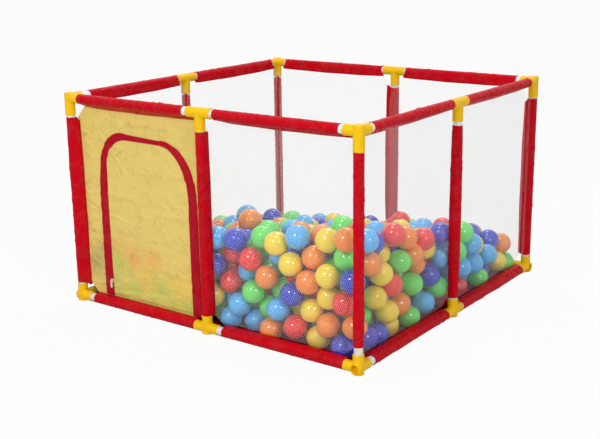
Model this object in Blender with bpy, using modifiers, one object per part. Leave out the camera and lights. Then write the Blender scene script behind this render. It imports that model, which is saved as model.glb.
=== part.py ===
"""A square ball pit for small children.

White tubes stand in moulded yellow connectors, two bays to a side. Each bay has a sewn cover: red
sleeves over its top rail, bottom rail and first post, and a wall of net between them. The first
bay of the front has a wall of cloth with an arched door that zips shut. Balls lie heaped in
the front right corner. Lengths are in metres, +Z is up, the front faces -Y, and the origin is at
the middle of the floor.
"""

import math
import random

import bmesh
import bpy
from mathutils import Matrix, Vector
from mathutils.bvhtree import BVHTree
from mathutils.kdtree import KDTree

# Frame of tubes and connectors
BAY_LENGTH = 0.5165
FRAME_HEIGHT = 0.624
TUBE_RADIUS = 0.0125
TUBE_WALL = 0.0015
SOCKET_WALL = 0.0027
POST_SOCKET_WALL = 0.0031
CORNER_CROWN = 0.0006
STOP_WALL = 0.0035
RAIL_SOCKET_REACH = 0.042
TOP_POST_SOCKET_REACH = 0.052
BOTTOM_POST_SOCKET_REACH = 0.038
SPARE_SOCKET_REACH = 0.018
SPARE_SOCKET_DEPTH = 0.014
ROUND_SIDES = 12

# Sewn covers
CLOTH = 0.0012
SLEEVE_FIT = 0.0008
SLEEVE_SETBACK = 0.008
TOP_TAIL = 0.009
BOTTOM_TAIL = 0.003
POST_TAIL = 0.013
DOOR_TOP_TAIL = 0.020
DOOR_POST_TAIL = 0.024
SEAM_LAP = 0.004
SEAM_FOLD = 0.0006
SLEEVE_ARC_POINTS = 9
TOP_SAG_SHARES = (0.8, 1.15, 0.8)
BOTTOM_SAG_SHARES = (1.0, 1.0)
POST_SAG_SHARES = (0.85, 1.2, 0.8)
TAIL_BORE_SHARE = 1.5

# Net
NET_HEM = 0.012
NET_STRAND = 0.005
NET_COLUMNS = 4
NET_ROWS = 3
SMALLEST_GAP_SHARE = 0.3

# Door
DOOR_CENTRE = 0.290
DOOR_WIDTH = 0.324
DOOR_TOP = 0.530
DOOR_CORNER_RADIUS = 0.085
DOOR_SILL = 0.005
DOOR_GAP = 0.0005
TAPE_LEG_WIDTH = 0.031
TAPE_TOP_WIDTH = 0.020
TAPE_THICKNESS = 0.0012
ARCH_CORNER_POINTS = 7

# Zip slider and its pull
SLIDER_HEIGHT = 0.082
SLIDER_WIDTH = 0.009
SLIDER_LENGTH = 0.014
SLIDER_THICKNESS = 0.004
SLIDER_NOSE_BEVEL = 0.0015
SLIDER_EAR_WIDTH = 0.0016
SLIDER_EAR_LENGTH = 0.0045
SLIDER_EAR_RISE = 0.0045
PIN_RADIUS = 0.0009
EYE_RADIUS = 0.0020
PULL_WIDTH = 0.0075
PULL_LENGTH = 0.022
PULL_THICKNESS = 0.0016
PULL_NECK_LENGTH = 0.006

# Floor mat
MAT_THICKNESS = 0.002

# Balls
BALL_RADIUS = 0.035
BALL_SEGMENTS = 10
BALL_RINGS = 6
BALL_WELD = 0.0015
HEAP_HEIGHT_FRONT_RIGHT = 0.400
HEAP_HEIGHT_FRONT_LEFT = 0.270
HEAP_HEIGHT_BACK_RIGHT = 0.175
HEAP_HEIGHT_BACK_LEFT = 0.080
HEAP_GAP_DEPTH = 0.045
HEAP_TOP_DEPTH = 0.075
HEAP_GRAIN = 0.0085
HEAP_TRIANGLES = 3180
HEAP_SEED = 8
DROP_TRIES = 60
ROLL_ROUNDS = 4
ROLL_TRIES = 10
ROLL_STEP_SHARE = 0.5
TOUCHING_SHARE = 2
MOST_MISSES = 40
LOOSE_BALL_PLACE_SHARES = (
    (0.72, -0.58), (0.15, -0.72), (0.58, 0.15), (-0.30, -0.30), (-0.58, 0.42), (0.28, 0.72),
)

# Fit between touching pieces, and overruns of the cuts
CLEARANCE = 0.0003
CUT_OVERRUN = 0.001
WELD_DISTANCE = 0.00001

# Sizes that follow from those above
HALF_SIDE = BAY_LENGTH
SOCKET_RADIUS = TUBE_RADIUS + CLEARANCE
CONNECTOR_RADIUS = SOCKET_RADIUS + SOCKET_WALL
POST_ARM_RADIUS = SOCKET_RADIUS + POST_SOCKET_WALL
TUBE_STOP = TUBE_RADIUS + STOP_WALL
SLEEVE_BORE_RADIUS = TUBE_RADIUS + SLEEVE_FIT
SLEEVE_RADIUS = SLEEVE_BORE_RADIUS + CLOTH
SEAM_SIDE = SLEEVE_RADIUS + CLEARANCE
WALL_INNER = SEAM_SIDE + CLOTH
BOTTOM_AXIS = MAT_THICKNESS + CLEARANCE + SLEEVE_RADIUS
TOP_AXIS = BOTTOM_AXIS + FRAME_HEIGHT
RAIL_SLEEVE_START = RAIL_SOCKET_REACH + SLEEVE_SETBACK
POST_SLEEVE_TOP = TOP_AXIS - TOP_POST_SOCKET_REACH - SLEEVE_SETBACK
POST_SLEEVE_FOOT = BOTTOM_AXIS + BOTTOM_POST_SOCKET_REACH + SLEEVE_SETBACK
DOOR_BASE = BOTTOM_AXIS + SLEEVE_RADIUS + BOTTOM_TAIL + DOOR_SILL

SIDE_NAMES = ("front", "right", "back", "left")
CORNER_NAMES = ("front_left", "front_right", "back_right", "back_left")
QUARTER_TURN = math.pi / 2

# Linear colours, then roughness and metallic value
FINISHES = {
    "connector_plastic": ((0.87, 0.55, 0.01), 0.42, 0.0),
    "tube_plastic": ((0.82, 0.80, 0.78), 0.35, 0.0),
    "red_cloth": ((0.56, 0.005, 0.018), 0.55, 0.0),
    "door_cloth": ((0.70, 0.55, 0.15), 0.70, 0.0),
    "tape_cloth": ((0.36, 0.002, 0.021), 0.65, 0.0),
    "mat_cloth": ((0.30, 0.01, 0.02), 0.70, 0.0),
    "zip_metal": ((0.80, 0.80, 0.80), 0.30, 0.9),
    "green_ball": ((0.16, 0.79, 0.16), 0.22, 0.0),
    "orange_ball": ((0.95, 0.22, 0.02), 0.22, 0.0),
    "yellow_ball": ((0.95, 0.68, 0.03), 0.22, 0.0),
    "light_blue_ball": ((0.10, 0.43, 0.91), 0.22, 0.0),
    "dark_blue_ball": ((0.03, 0.06, 0.58), 0.22, 0.0),
    "red_ball": ((0.83, 0.03, 0.03), 0.22, 0.0),
}
BALL_FINISHES = tuple(name for name in FINISHES if name.endswith("_ball"))


def clear_scene():
    """Remove every object that the file opened with."""
    for obj in list(bpy.data.objects):
        bpy.data.objects.remove(obj)


def new_collection(name):
    """Add a collection to the scene."""
    collection = bpy.data.collections.new(name)
    bpy.context.scene.collection.children.link(collection)
    return collection


def finish_material(name):
    """Give the Principled material of one named finish, made once."""
    if name in bpy.data.materials:
        return bpy.data.materials[name]
    colour, roughness, metallic = FINISHES[name]
    material = bpy.data.materials.new(name)
    material.use_nodes = True
    shader = material.node_tree.nodes["Principled BSDF"]
    shader.inputs["Base Color"].default_value = (*colour, 1.0)
    shader.inputs["Roughness"].default_value = roughness
    shader.inputs["Metallic"].default_value = metallic
    return material


def build_object(bm, name, collection):
    """Turn a bmesh into an object of a collection."""
    mesh = bpy.data.meshes.new(name)
    bm.to_mesh(mesh)
    bm.free()
    obj = bpy.data.objects.new(name, mesh)
    collection.objects.link(obj)
    return obj


def evaluated_mesh(obj):
    """Copy the mesh that an object has after its modifiers."""
    graph = bpy.context.evaluated_depsgraph_get()
    return bpy.data.meshes.new_from_object(obj.evaluated_get(graph))


def close_seams(mesh):
    """Weld what a join or cut left doubled, and split each open edge at the points that lie on it."""
    bm = bmesh.new()
    bm.from_mesh(mesh)
    bmesh.ops.remove_doubles(bm, verts=bm.verts, dist=WELD_DISTANCE)
    open_edges = [edge for edge in bm.edges if edge.is_boundary]
    open_points = [point for point in bm.verts if point.is_boundary]
    for edge in open_edges:
        start, end = (point.co.copy() for point in edge.verts)
        run = end - start
        for point in open_points:
            share = (point.co - start).dot(run) / run.length_squared
            on_line = (start + run * share - point.co).length < WELD_DISTANCE
            if on_line and WELD_DISTANCE < share * run.length < run.length - WELD_DISTANCE:
                bmesh.utils.edge_split(edge, edge.verts[0], share)
                break
    bmesh.ops.remove_doubles(bm, verts=bm.verts, dist=WELD_DISTANCE)
    bm.to_mesh(mesh)
    bm.free()
    return mesh


def bake_booleans(target, tools, operation):
    """Join tools to a solid or cut them from it, keep the result, and remove the tools."""
    for tool in tools:
        step = target.modifiers.new(tool.name, "BOOLEAN")
        step.operation = operation
        step.solver = "EXACT"
        step.object = tool
    mesh = close_seams(evaluated_mesh(target))
    target.modifiers.clear()
    target.data = mesh
    for tool in tools:
        bpy.data.objects.remove(tool)
    return target


def take_mesh(obj):
    """Keep an object's mesh and remove the object."""
    mesh = obj.data
    bpy.data.objects.remove(obj)
    return mesh


def axis_turn(axis):
    """Give the rotation that lays a shape standing along Z along the named axis."""
    turns = {
        "X": Matrix.Rotation(QUARTER_TURN, 4, "Y"),
        "Y": Matrix.Rotation(-QUARTER_TURN, 4, "X"),
        "Z": Matrix.Identity(4),
    }
    return turns[axis]


def cylinder(name, radius, axis, start, end, collection):
    """Make a solid cylinder about an axis, from one station along it to another."""
    bm = bmesh.new()
    middle = Matrix.Translation((0, 0, (start + end) / 2))
    bmesh.ops.create_cone(
        bm, cap_ends=True, segments=ROUND_SIDES, radius1=radius, radius2=radius,
        depth=end - start, matrix=axis_turn(axis) @ middle,
    )
    return build_object(bm, name, collection)


def box(name, low, high, collection):
    """Make a box from its lowest to its highest corner."""
    bm = bmesh.new()
    low = Vector(low)
    high = Vector(high)
    scale = Matrix.Diagonal((*(high - low), 1))
    bmesh.ops.create_cube(bm, size=1, matrix=Matrix.Translation((low + high) / 2) @ scale)
    return build_object(bm, name, collection)


def flat_solid(name, outlines, thickness, middle, collection):
    """Stand a flat outline with holes in the plane of X and Z, about a middle plane in Y."""
    curve = bpy.data.curves.new(name, "CURVE")
    curve.dimensions = "2D"
    curve.fill_mode = "BOTH"
    curve.extrude = thickness / 2
    for outline in outlines:
        spline = curve.splines.new("POLY")
        spline.points.add(len(outline) - 1)
        for point, place in zip(spline.points, outline):
            point.co = (*place, 0, 1)
        spline.use_cyclic_u = True
    drawn = bpy.data.objects.new(name, curve)
    collection.objects.link(drawn)
    mesh = evaluated_mesh(drawn)
    bpy.data.objects.remove(drawn)
    bm = bmesh.new()
    bm.from_mesh(mesh)
    bmesh.ops.remove_doubles(bm, verts=bm.verts, dist=WELD_DISTANCE)
    bmesh.ops.dissolve_degenerate(bm, edges=bm.edges, dist=WELD_DISTANCE)
    stand = Matrix.Translation((0, middle, 0)) @ Matrix.Rotation(QUARTER_TURN, 4, "X")
    bmesh.ops.transform(bm, matrix=stand, verts=bm.verts)
    bmesh.ops.recalc_face_normals(bm, faces=bm.faces)
    return build_object(bm, name, collection)


# Connectors and tubes


def connector_mesh(name, arms, sockets, collection):
    """Mould a connector: arms joined to one body, with a round socket cut in each."""
    solids = [
        cylinder(
            f"{name}_arm", POST_ARM_RADIUS if axis == "Z" else CONNECTOR_RADIUS, axis, start, end,
            collection,
        )
        for axis, start, end in arms
    ]
    bores = [
        cylinder(f"{name}_bore", SOCKET_RADIUS, axis, start, end, collection)
        for axis, start, end in sockets
    ]
    body = bake_booleans(solids[0], solids[1:], "UNION")
    return take_mesh(bake_booleans(body, bores, "DIFFERENCE"))


def connector_meshes(collection):
    """Mould the four kinds of connector, each about the point where its axes cross."""
    socket_floor = TUBE_STOP - CLEARANCE
    rail_mouth = RAIL_SOCKET_REACH + CUT_OVERRUN
    top_mouth = -TOP_POST_SOCKET_REACH - CUT_OVERRUN
    bottom_mouth = BOTTOM_POST_SOCKET_REACH + CUT_OVERRUN
    spare_mouth = -SPARE_SOCKET_REACH - CUT_OVERRUN
    right_socket = ("X", socket_floor, rail_mouth)
    left_socket = ("X", -rail_mouth, -socket_floor)
    inward_socket = ("Y", socket_floor, rail_mouth)
    down_socket = ("Z", top_mouth, -socket_floor)
    up_socket = ("Z", socket_floor, bottom_mouth)
    spare_socket = ("X", spare_mouth, SPARE_SOCKET_DEPTH - SPARE_SOCKET_REACH)
    kinds = {
        "top_corner": (
            [("Z", -TOP_POST_SOCKET_REACH, CONNECTOR_RADIUS + CORNER_CROWN),
             ("X", 0, RAIL_SOCKET_REACH), ("Y", 0, RAIL_SOCKET_REACH)],
            [right_socket, inward_socket, down_socket],
        ),
        "top_tee": (
            [("X", -RAIL_SOCKET_REACH, RAIL_SOCKET_REACH), ("Z", -TOP_POST_SOCKET_REACH, 0)],
            [right_socket, left_socket, down_socket],
        ),
        "bottom_corner": (
            [("X", -SPARE_SOCKET_REACH, RAIL_SOCKET_REACH), ("Y", 0, RAIL_SOCKET_REACH),
             ("Z", -BOTTOM_AXIS, BOTTOM_POST_SOCKET_REACH)],
            [right_socket, inward_socket, up_socket, spare_socket],
        ),
        "bottom_tee": (
            [("X", -RAIL_SOCKET_REACH, RAIL_SOCKET_REACH),
             ("Z", -BOTTOM_AXIS, BOTTOM_POST_SOCKET_REACH)],
            [right_socket, left_socket, up_socket],
        ),
    }
    return {
        name: connector_mesh(name, arms, sockets, collection)
        for name, (arms, sockets) in kinds.items()
    }


def tube_mesh(name, axis, length):
    """Make an open tube that leaves its wall to a Solidify modifier, from its stop at both ends."""
    bm = bmesh.new()
    middle = Matrix.Translation((0, 0, length / 2))
    bmesh.ops.create_cone(
        bm, cap_ends=False, segments=ROUND_SIDES, radius1=TUBE_RADIUS, radius2=TUBE_RADIUS,
        depth=length - 2 * TUBE_STOP, matrix=axis_turn(axis) @ middle,
    )
    mesh = bpy.data.meshes.new(name)
    bm.to_mesh(mesh)
    bm.free()
    return mesh


def add_tube_wall(tube):
    """Give a tube its wall, inwards from its outer face."""
    wall = tube.modifiers.new("wall", "SOLIDIFY")
    wall.thickness = TUBE_WALL
    wall.offset = -1
    wall.use_even_offset = True


# Sewn covers


def teardrop(radius, side, reach, width):
    """Draw a sleeve's section: a round over the tube, drawn out to a seam at one side."""
    near = Vector((side, reach))
    far = Vector((side + width, reach))
    start = math.atan2(near.y, near.x) + math.acos(radius / near.length)
    end = math.atan2(far.y, far.x) - math.acos(radius / far.length) + 2 * math.pi
    step = (end - start) / (SLEEVE_ARC_POINTS - 1)
    angles = [start + step * index for index in range(SLEEVE_ARC_POINTS)]
    arc = [Vector((radius * math.cos(a), radius * math.sin(a))) for a in angles]
    return [near, *arc, far]


def sleeve_solid(name, start, end, tail, sag_shares, place, collection):
    """Loft a cloth sleeve along a tube, with a tail that sags by its shares.

    place turns a station along the tube and a point of the section into a point of the bay.
    """
    bm = bmesh.new()
    outer_rings = []
    inner_rings = []
    for index, share in enumerate(sag_shares):
        station = start + (end - start) * index / (len(sag_shares) - 1)
        reach = SLEEVE_RADIUS + tail * share
        seam_width = SEAM_FOLD + CLOTH - CLEARANCE
        outer = teardrop(SLEEVE_RADIUS, SEAM_SIDE - SEAM_FOLD, reach, seam_width)
        bore_side = SEAM_SIDE - TAIL_BORE_SHARE * CLOTH
        inner = teardrop(SLEEVE_BORE_RADIUS, bore_side, reach - SEAM_LAP, CLOTH)
        outer_rings.append([bm.verts.new(place(station, *point)) for point in outer])
        inner_rings.append([bm.verts.new(place(station, *point)) for point in inner])
    for rings in (outer_rings, inner_rings):
        for ring, following in zip(rings, rings[1:]):
            bridge(bm, ring, following)
    for index in (0, -1):
        bridge(bm, outer_rings[index], inner_rings[index])
    bmesh.ops.recalc_face_normals(bm, faces=bm.faces)
    return build_object(bm, name, collection)


def bridge(bm, ring, following):
    """Join two closed rings of as many points with quads."""
    count = len(ring)
    for index in range(count):
        after = (index + 1) % count
        bm.faces.new((ring[index], ring[after], following[after], following[index]))


def bay_sleeves(top_tail, post_tail, collection):
    """Sew the three sleeves of a bay: over its top rail, its bottom rail and its first post."""
    rail_end = BAY_LENGTH - RAIL_SLEEVE_START
    top = sleeve_solid(
        "top_sleeve", RAIL_SLEEVE_START, rail_end, top_tail, TOP_SAG_SHARES,
        lambda along, u, v: (along, u, TOP_AXIS - v), collection,
    )
    bottom = sleeve_solid(
        "bottom_sleeve", RAIL_SLEEVE_START, rail_end, BOTTOM_TAIL, BOTTOM_SAG_SHARES,
        lambda along, u, v: (along, u, BOTTOM_AXIS + v), collection,
    )
    post = sleeve_solid(
        "post_sleeve", POST_SLEEVE_FOOT, POST_SLEEVE_TOP, post_tail, POST_SAG_SHARES,
        lambda along, u, v: (v, u, along), collection,
    )
    return [top, bottom, post]


def wall_outline(ends_at_corner, top_tail):
    """Draw the cloth wall of a bay in X and Z, with its corners cut back from the connectors."""
    start = CLEARANCE
    end = BAY_LENGTH
    if ends_at_corner:
        end = BAY_LENGTH - WALL_INNER - CLEARANCE
    top = TOP_AXIS - SLEEVE_RADIUS - top_tail * min(TOP_SAG_SHARES) + SEAM_LAP
    bottom = BOTTOM_AXIS + SLEEVE_RADIUS + BOTTOM_TAIL - SEAM_LAP
    rail_start = RAIL_SLEEVE_START + SEAM_LAP
    rail_end = BAY_LENGTH - rail_start
    post_top = POST_SLEEVE_TOP - SEAM_LAP
    post_foot = POST_SLEEVE_FOOT + SEAM_LAP
    return [
        (rail_start, bottom), (rail_end, bottom), (end, post_foot), (end, post_top),
        (rail_end, top), (rail_start, top), (start, post_top), (start, post_foot),
    ]


def inset_outline(outline, distance):
    """Draw a convex outline again, moved inwards by a distance."""
    points = [Vector(point) for point in outline]
    moved = []
    for index, point in enumerate(points):
        back = (point - points[index - 1]).normalized()
        ahead = (points[(index + 1) % len(points)] - point).normalized()
        half_turn = (Vector((-back.y, back.x)) + Vector((-ahead.y, ahead.x))) / 2
        moved.append(point + half_turn * distance / half_turn.length_squared)
    return moved


def clip_to(outline, polygon):
    """Cut a polygon down to what lies inside a convex outline."""
    for index, corner in enumerate(outline):
        edge = outline[(index + 1) % len(outline)] - corner
        kept = []
        for place, point in enumerate(polygon):
            before = polygon[place - 1]
            depth = edge.cross(point - corner)
            depth_before = edge.cross(before - corner)
            if depth * depth_before < 0:
                share = depth_before / (depth_before - depth)
                kept.append(before.lerp(point, share))
            if depth >= 0:
                kept.append(point)
        polygon = kept
    return polygon


def polygon_area(polygon):
    """Measure the area of a flat polygon."""
    doubled = sum(polygon[index - 1].cross(point) for index, point in enumerate(polygon))
    return abs(doubled) / 2


def net_gaps(outline):
    """List the gaps of the net: upright diamonds in staggered rows, cut off at the hem."""
    region = inset_outline(outline, NET_HEM)
    low = Vector((min(p.x for p in region), min(p.y for p in region)))
    high = Vector((max(p.x for p in region), max(p.y for p in region)))
    half_width = (high.x - low.x) / (2 * NET_COLUMNS)
    half_height = (high.y - low.y) / (2 * NET_ROWS)
    slant = math.hypot(half_width, half_height)
    shrink = 1 - NET_STRAND * slant / (2 * half_width * half_height)
    across = Vector((half_width * shrink, 0))
    up = Vector((0, half_height * shrink))
    smallest = SMALLEST_GAP_SHARE * 2 * across.x * up.y
    gaps = []
    for column in range(2 * NET_COLUMNS + 1):
        for row in range(column % 2, 2 * NET_ROWS + 1, 2):
            centre = low + Vector((column * half_width, row * half_height))
            diamond = [centre - up, centre + across, centre + up, centre - across]
            gap = clip_to(region, diamond)
            if polygon_area(gap) > smallest:
                gaps.append(gap)
    return gaps


def arch(inset, leg_width, top_width, base):
    """Draw the door's arch: straight legs and rounded corners, grown from the door's own size."""
    half_width = DOOR_WIDTH / 2 - inset + leg_width
    top = DOOR_TOP - inset + top_width
    round_across = DOOR_CORNER_RADIUS - inset + leg_width
    round_up = DOOR_CORNER_RADIUS - inset + top_width
    right = []
    for index in range(ARCH_CORNER_POINTS):
        angle = QUARTER_TURN * index / (ARCH_CORNER_POINTS - 1)
        right.append((
            half_width - round_across * (1 - math.cos(angle)),
            top - round_up * (1 - math.sin(angle)),
        ))
    left = [(-x, z) for x, z in reversed(right)]
    outline = [(half_width, base), *right, *left, (-half_width, base)]
    return [Vector((DOOR_CENTRE + x, z)) for x, z in outline]


def cover_mesh(name, outlines, sleeves, collection):
    """Sew a wall of cloth to its sleeves."""
    middle = SEAM_SIDE + CLOTH / 2
    wall = flat_solid(name, outlines, CLOTH, middle, collection)
    return take_mesh(bake_booleans(wall, sleeves, "UNION"))


def net_cover_mesh(name, ends_at_corner, collection):
    """Sew the cover of a bay whose wall is net."""
    outline = wall_outline(ends_at_corner, TOP_TAIL)
    sleeves = bay_sleeves(TOP_TAIL, POST_TAIL, collection)
    return cover_mesh(name, [outline, *net_gaps(outline)], sleeves, collection)


def door_cover_mesh(name, collection):
    """Sew the cover of the bay whose wall is cloth round an arched doorway."""
    outline = wall_outline(False, DOOR_TOP_TAIL)
    sleeves = bay_sleeves(DOOR_TOP_TAIL, DOOR_POST_TAIL, collection)
    return cover_mesh(name, [outline, arch(0, 0, 0, DOOR_BASE)], sleeves, collection)


# Placing what repeats round the frame


def place_in_bay(obj, side, along, across, height):
    """Turn an object to face out of a side, and place it by its bay coordinates."""
    turn = Matrix.Rotation(side * QUARTER_TURN, 3, "Z")
    obj.location = turn @ Vector((along - HALF_SIDE, across - HALF_SIDE, height))
    obj.rotation_euler = (0, 0, side * QUARTER_TURN)


def add_copy(name, mesh, finish, collection):
    """Add an object of its own on a mesh that others may share."""
    obj = bpy.data.objects.new(name, mesh)
    if not mesh.materials:
        mesh.materials.append(finish_material(finish))
    collection.objects.link(obj)
    return obj


def round_off(obj, sharp_angle):
    """Shade an object smooth, with its edges past an angle left sharp."""
    obj.data.shade_smooth()
    obj.data.set_sharp_from_angle(angle=sharp_angle)


def build_frame(collection, workshop):
    """Set up the connectors, posts and rails of the four sides."""
    connectors = connector_meshes(workshop)
    rail = tube_mesh("rail", "X", BAY_LENGTH)
    post = tube_mesh("post", "Z", FRAME_HEIGHT)
    for side, side_name in enumerate(SIDE_NAMES):
        corner_name = CORNER_NAMES[side]
        stands = {
            f"corner_{corner_name}": ("corner", 0),
            f"tee_{side_name}": ("tee", BAY_LENGTH),
        }
        for stand_name, (kind, along) in stands.items():
            top = add_copy(
                f"top_{stand_name}", connectors[f"top_{kind}"], "connector_plastic", collection
            )
            place_in_bay(top, side, along, 0, TOP_AXIS)
            bottom = add_copy(
                f"bottom_{stand_name}", connectors[f"bottom_{kind}"], "connector_plastic",
                collection,
            )
            place_in_bay(bottom, side, along, 0, BOTTOM_AXIS)
            tube = add_copy(f"post_{stand_name}", post, "tube_plastic", collection)
            place_in_bay(tube, side, along, 0, BOTTOM_AXIS)
            add_tube_wall(tube)
            for piece in (top, bottom, tube):
                round_off(piece, QUARTER_TURN / 2)
        for bay in range(2):
            for level, height in (("top", TOP_AXIS), ("bottom", BOTTOM_AXIS)):
                name = f"{level}_rail_{side_name}_{bay + 1}"
                tube = add_copy(name, rail, "tube_plastic", collection)
                place_in_bay(tube, side, bay * BAY_LENGTH, 0, height)
                add_tube_wall(tube)
                round_off(tube, QUARTER_TURN / 2)


def build_covers(collection, workshop):
    """Hang the sewn cover of each bay."""
    net_meshes = [net_cover_mesh(f"net_cover_{bay}", bay == 1, workshop) for bay in range(2)]
    for side, side_name in enumerate(SIDE_NAMES):
        for bay, mesh in enumerate(net_meshes):
            if side == 0 and bay == 0:
                mesh = door_cover_mesh("door_cover", workshop)
                cover = add_copy("door_cover", mesh, "red_cloth", collection)
            else:
                cover = add_copy(f"net_cover_{side_name}_{bay + 1}", mesh, "red_cloth", collection)
            place_in_bay(cover, side, bay * BAY_LENGTH, 0, 0)


# Door, zip and mat


def build_door(collection, workshop):
    """Hang the door flap on its sill and sew the zip's tape round it."""
    flap = flat_solid(
        "door_flap", [arch(DOOR_GAP, 0, 0, DOOR_BASE + DOOR_GAP)], CLOTH, SEAM_SIDE + CLOTH / 2,
        collection,
    )
    hinge = Vector((DOOR_CENTRE, SEAM_SIDE, DOOR_BASE + DOOR_GAP))
    flap.data.transform(Matrix.Translation(-hinge))
    flap.data.materials.append(finish_material("door_cloth"))
    place_in_bay(flap, 0, *hinge)
    foot = DOOR_BASE - DOOR_SILL + CLEARANCE
    inner = arch(0, 0, 0, foot)
    outer = arch(0, TAPE_LEG_WIDTH, TAPE_TOP_WIDTH, foot)
    tape_middle = SEAM_SIDE - CLEARANCE - TAPE_THICKNESS / 2
    tape = flat_solid(
        "zip_tape", [outer + list(reversed(inner))], TAPE_THICKNESS, tape_middle, collection
    )
    tape.data.materials.append(finish_material("tape_cloth"))
    place_in_bay(tape, 0, 0, 0, 0)


def build_zip_pull(collection, workshop):
    """Put the slider on the left leg of the tape, with a pull that hangs from its pin."""
    back = 0
    front = -SLIDER_THICKNESS
    half_width = SLIDER_WIDTH / 2
    half_length = SLIDER_LENGTH / 2
    body = box(
        "zip_slider", (-half_width, front, -half_length), (half_width, back, half_length),
        collection,
    )
    nose = body.modifiers.new("nose", "BEVEL")
    nose.width = SLIDER_NOSE_BEVEL
    nose.segments = 2
    body.data = evaluated_mesh(body)
    body.modifiers.clear()
    ears = []
    ear_gap = EYE_RADIUS
    for sign in (-1, 1):
        low, high = sorted((sign * ear_gap, sign * (ear_gap + SLIDER_EAR_WIDTH)))
        ears.append(box(
            "ear", (low, front - SLIDER_EAR_RISE, -SLIDER_EAR_LENGTH / 2),
            (high, front + SLIDER_NOSE_BEVEL, SLIDER_EAR_LENGTH / 2), workshop,
        ))
    pin_span = ear_gap + SLIDER_EAR_WIDTH / 2
    pin = cylinder("pin", PIN_RADIUS, "X", -pin_span, pin_span, workshop)
    pin_depth = front - SLIDER_EAR_RISE / 2
    pin.data.transform(Matrix.Translation((0, pin_depth, 0)))
    bake_booleans(body, [*ears, pin], "UNION")
    body.data.materials.append(finish_material("zip_metal"))

    along = DOOR_CENTRE - DOOR_WIDTH / 2 - half_width - CLEARANCE
    across = SEAM_SIDE - CLEARANCE - TAPE_THICKNESS - CLEARANCE
    place_in_bay(body, 0, along, across, SLIDER_HEIGHT)

    eye_half = ear_gap - CLEARANCE
    eye = cylinder("zip_pull", EYE_RADIUS, "X", -eye_half, eye_half, collection)
    half_thickness = PULL_THICKNESS / 2
    neck = box(
        "neck", (-eye_half, -half_thickness, -PULL_NECK_LENGTH), (eye_half, half_thickness, 0),
        workshop,
    )
    half_pull = PULL_WIDTH / 2
    round_points = [
        (half_pull * math.cos(angle), half_pull * math.sin(angle) - PULL_LENGTH + half_pull)
        for angle in (
            math.pi + math.pi * index / (ARCH_CORNER_POINTS - 1)
            for index in range(ARCH_CORNER_POINTS)
        )
    ]
    shoulder = -PULL_NECK_LENGTH + half_thickness
    tab_outline = [(-half_pull, shoulder), *round_points, (half_pull, shoulder)]
    tab = flat_solid("tab", [tab_outline], PULL_THICKNESS, 0, workshop)
    bake_booleans(eye, [neck, tab], "UNION")
    bore_half = eye_half + CUT_OVERRUN
    bore = cylinder("bore", PIN_RADIUS + CLEARANCE, "X", -bore_half, bore_half, workshop)
    bake_booleans(eye, [bore], "DIFFERENCE")
    eye.data.materials.append(finish_material("zip_metal"))
    place_in_bay(eye, 0, along, across + pin_depth, SLIDER_HEIGHT)


def build_mat(collection):
    """Lay the floor mat under the bottom sleeves, cut out round the connectors."""
    along = RAIL_SOCKET_REACH + CLEARANCE
    deep = max(CONNECTOR_RADIUS, POST_ARM_RADIUS) + CLEARANCE
    edge = -HALF_SIDE
    side_points = [
        (edge + deep, edge + deep), (edge + along, edge + deep), (edge + along, edge),
        (-along, edge), (-along, edge + deep), (along, edge + deep), (along, edge),
        (-edge - along, edge), (-edge - along, edge + deep),
    ]
    outline = []
    for side in range(len(SIDE_NAMES)):
        turn = Matrix.Rotation(side * QUARTER_TURN, 2)
        outline.extend(turn @ Vector(point) for point in side_points)
    mat = flat_solid("floor_mat", [outline], MAT_THICKNESS, 0, collection)
    lie = Matrix.Translation((0, 0, MAT_THICKNESS / 2)) @ Matrix.Rotation(-QUARTER_TURN, 4, "X")
    mat.data.transform(lie)
    mat.data.materials.append(finish_material("mat_cloth"))


# Balls


def in_radii(length):
    """Count a length in ball radii, rounded so that a part scaled as a whole heaps alike."""
    return round(length / BALL_RADIUS, 3)


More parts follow.
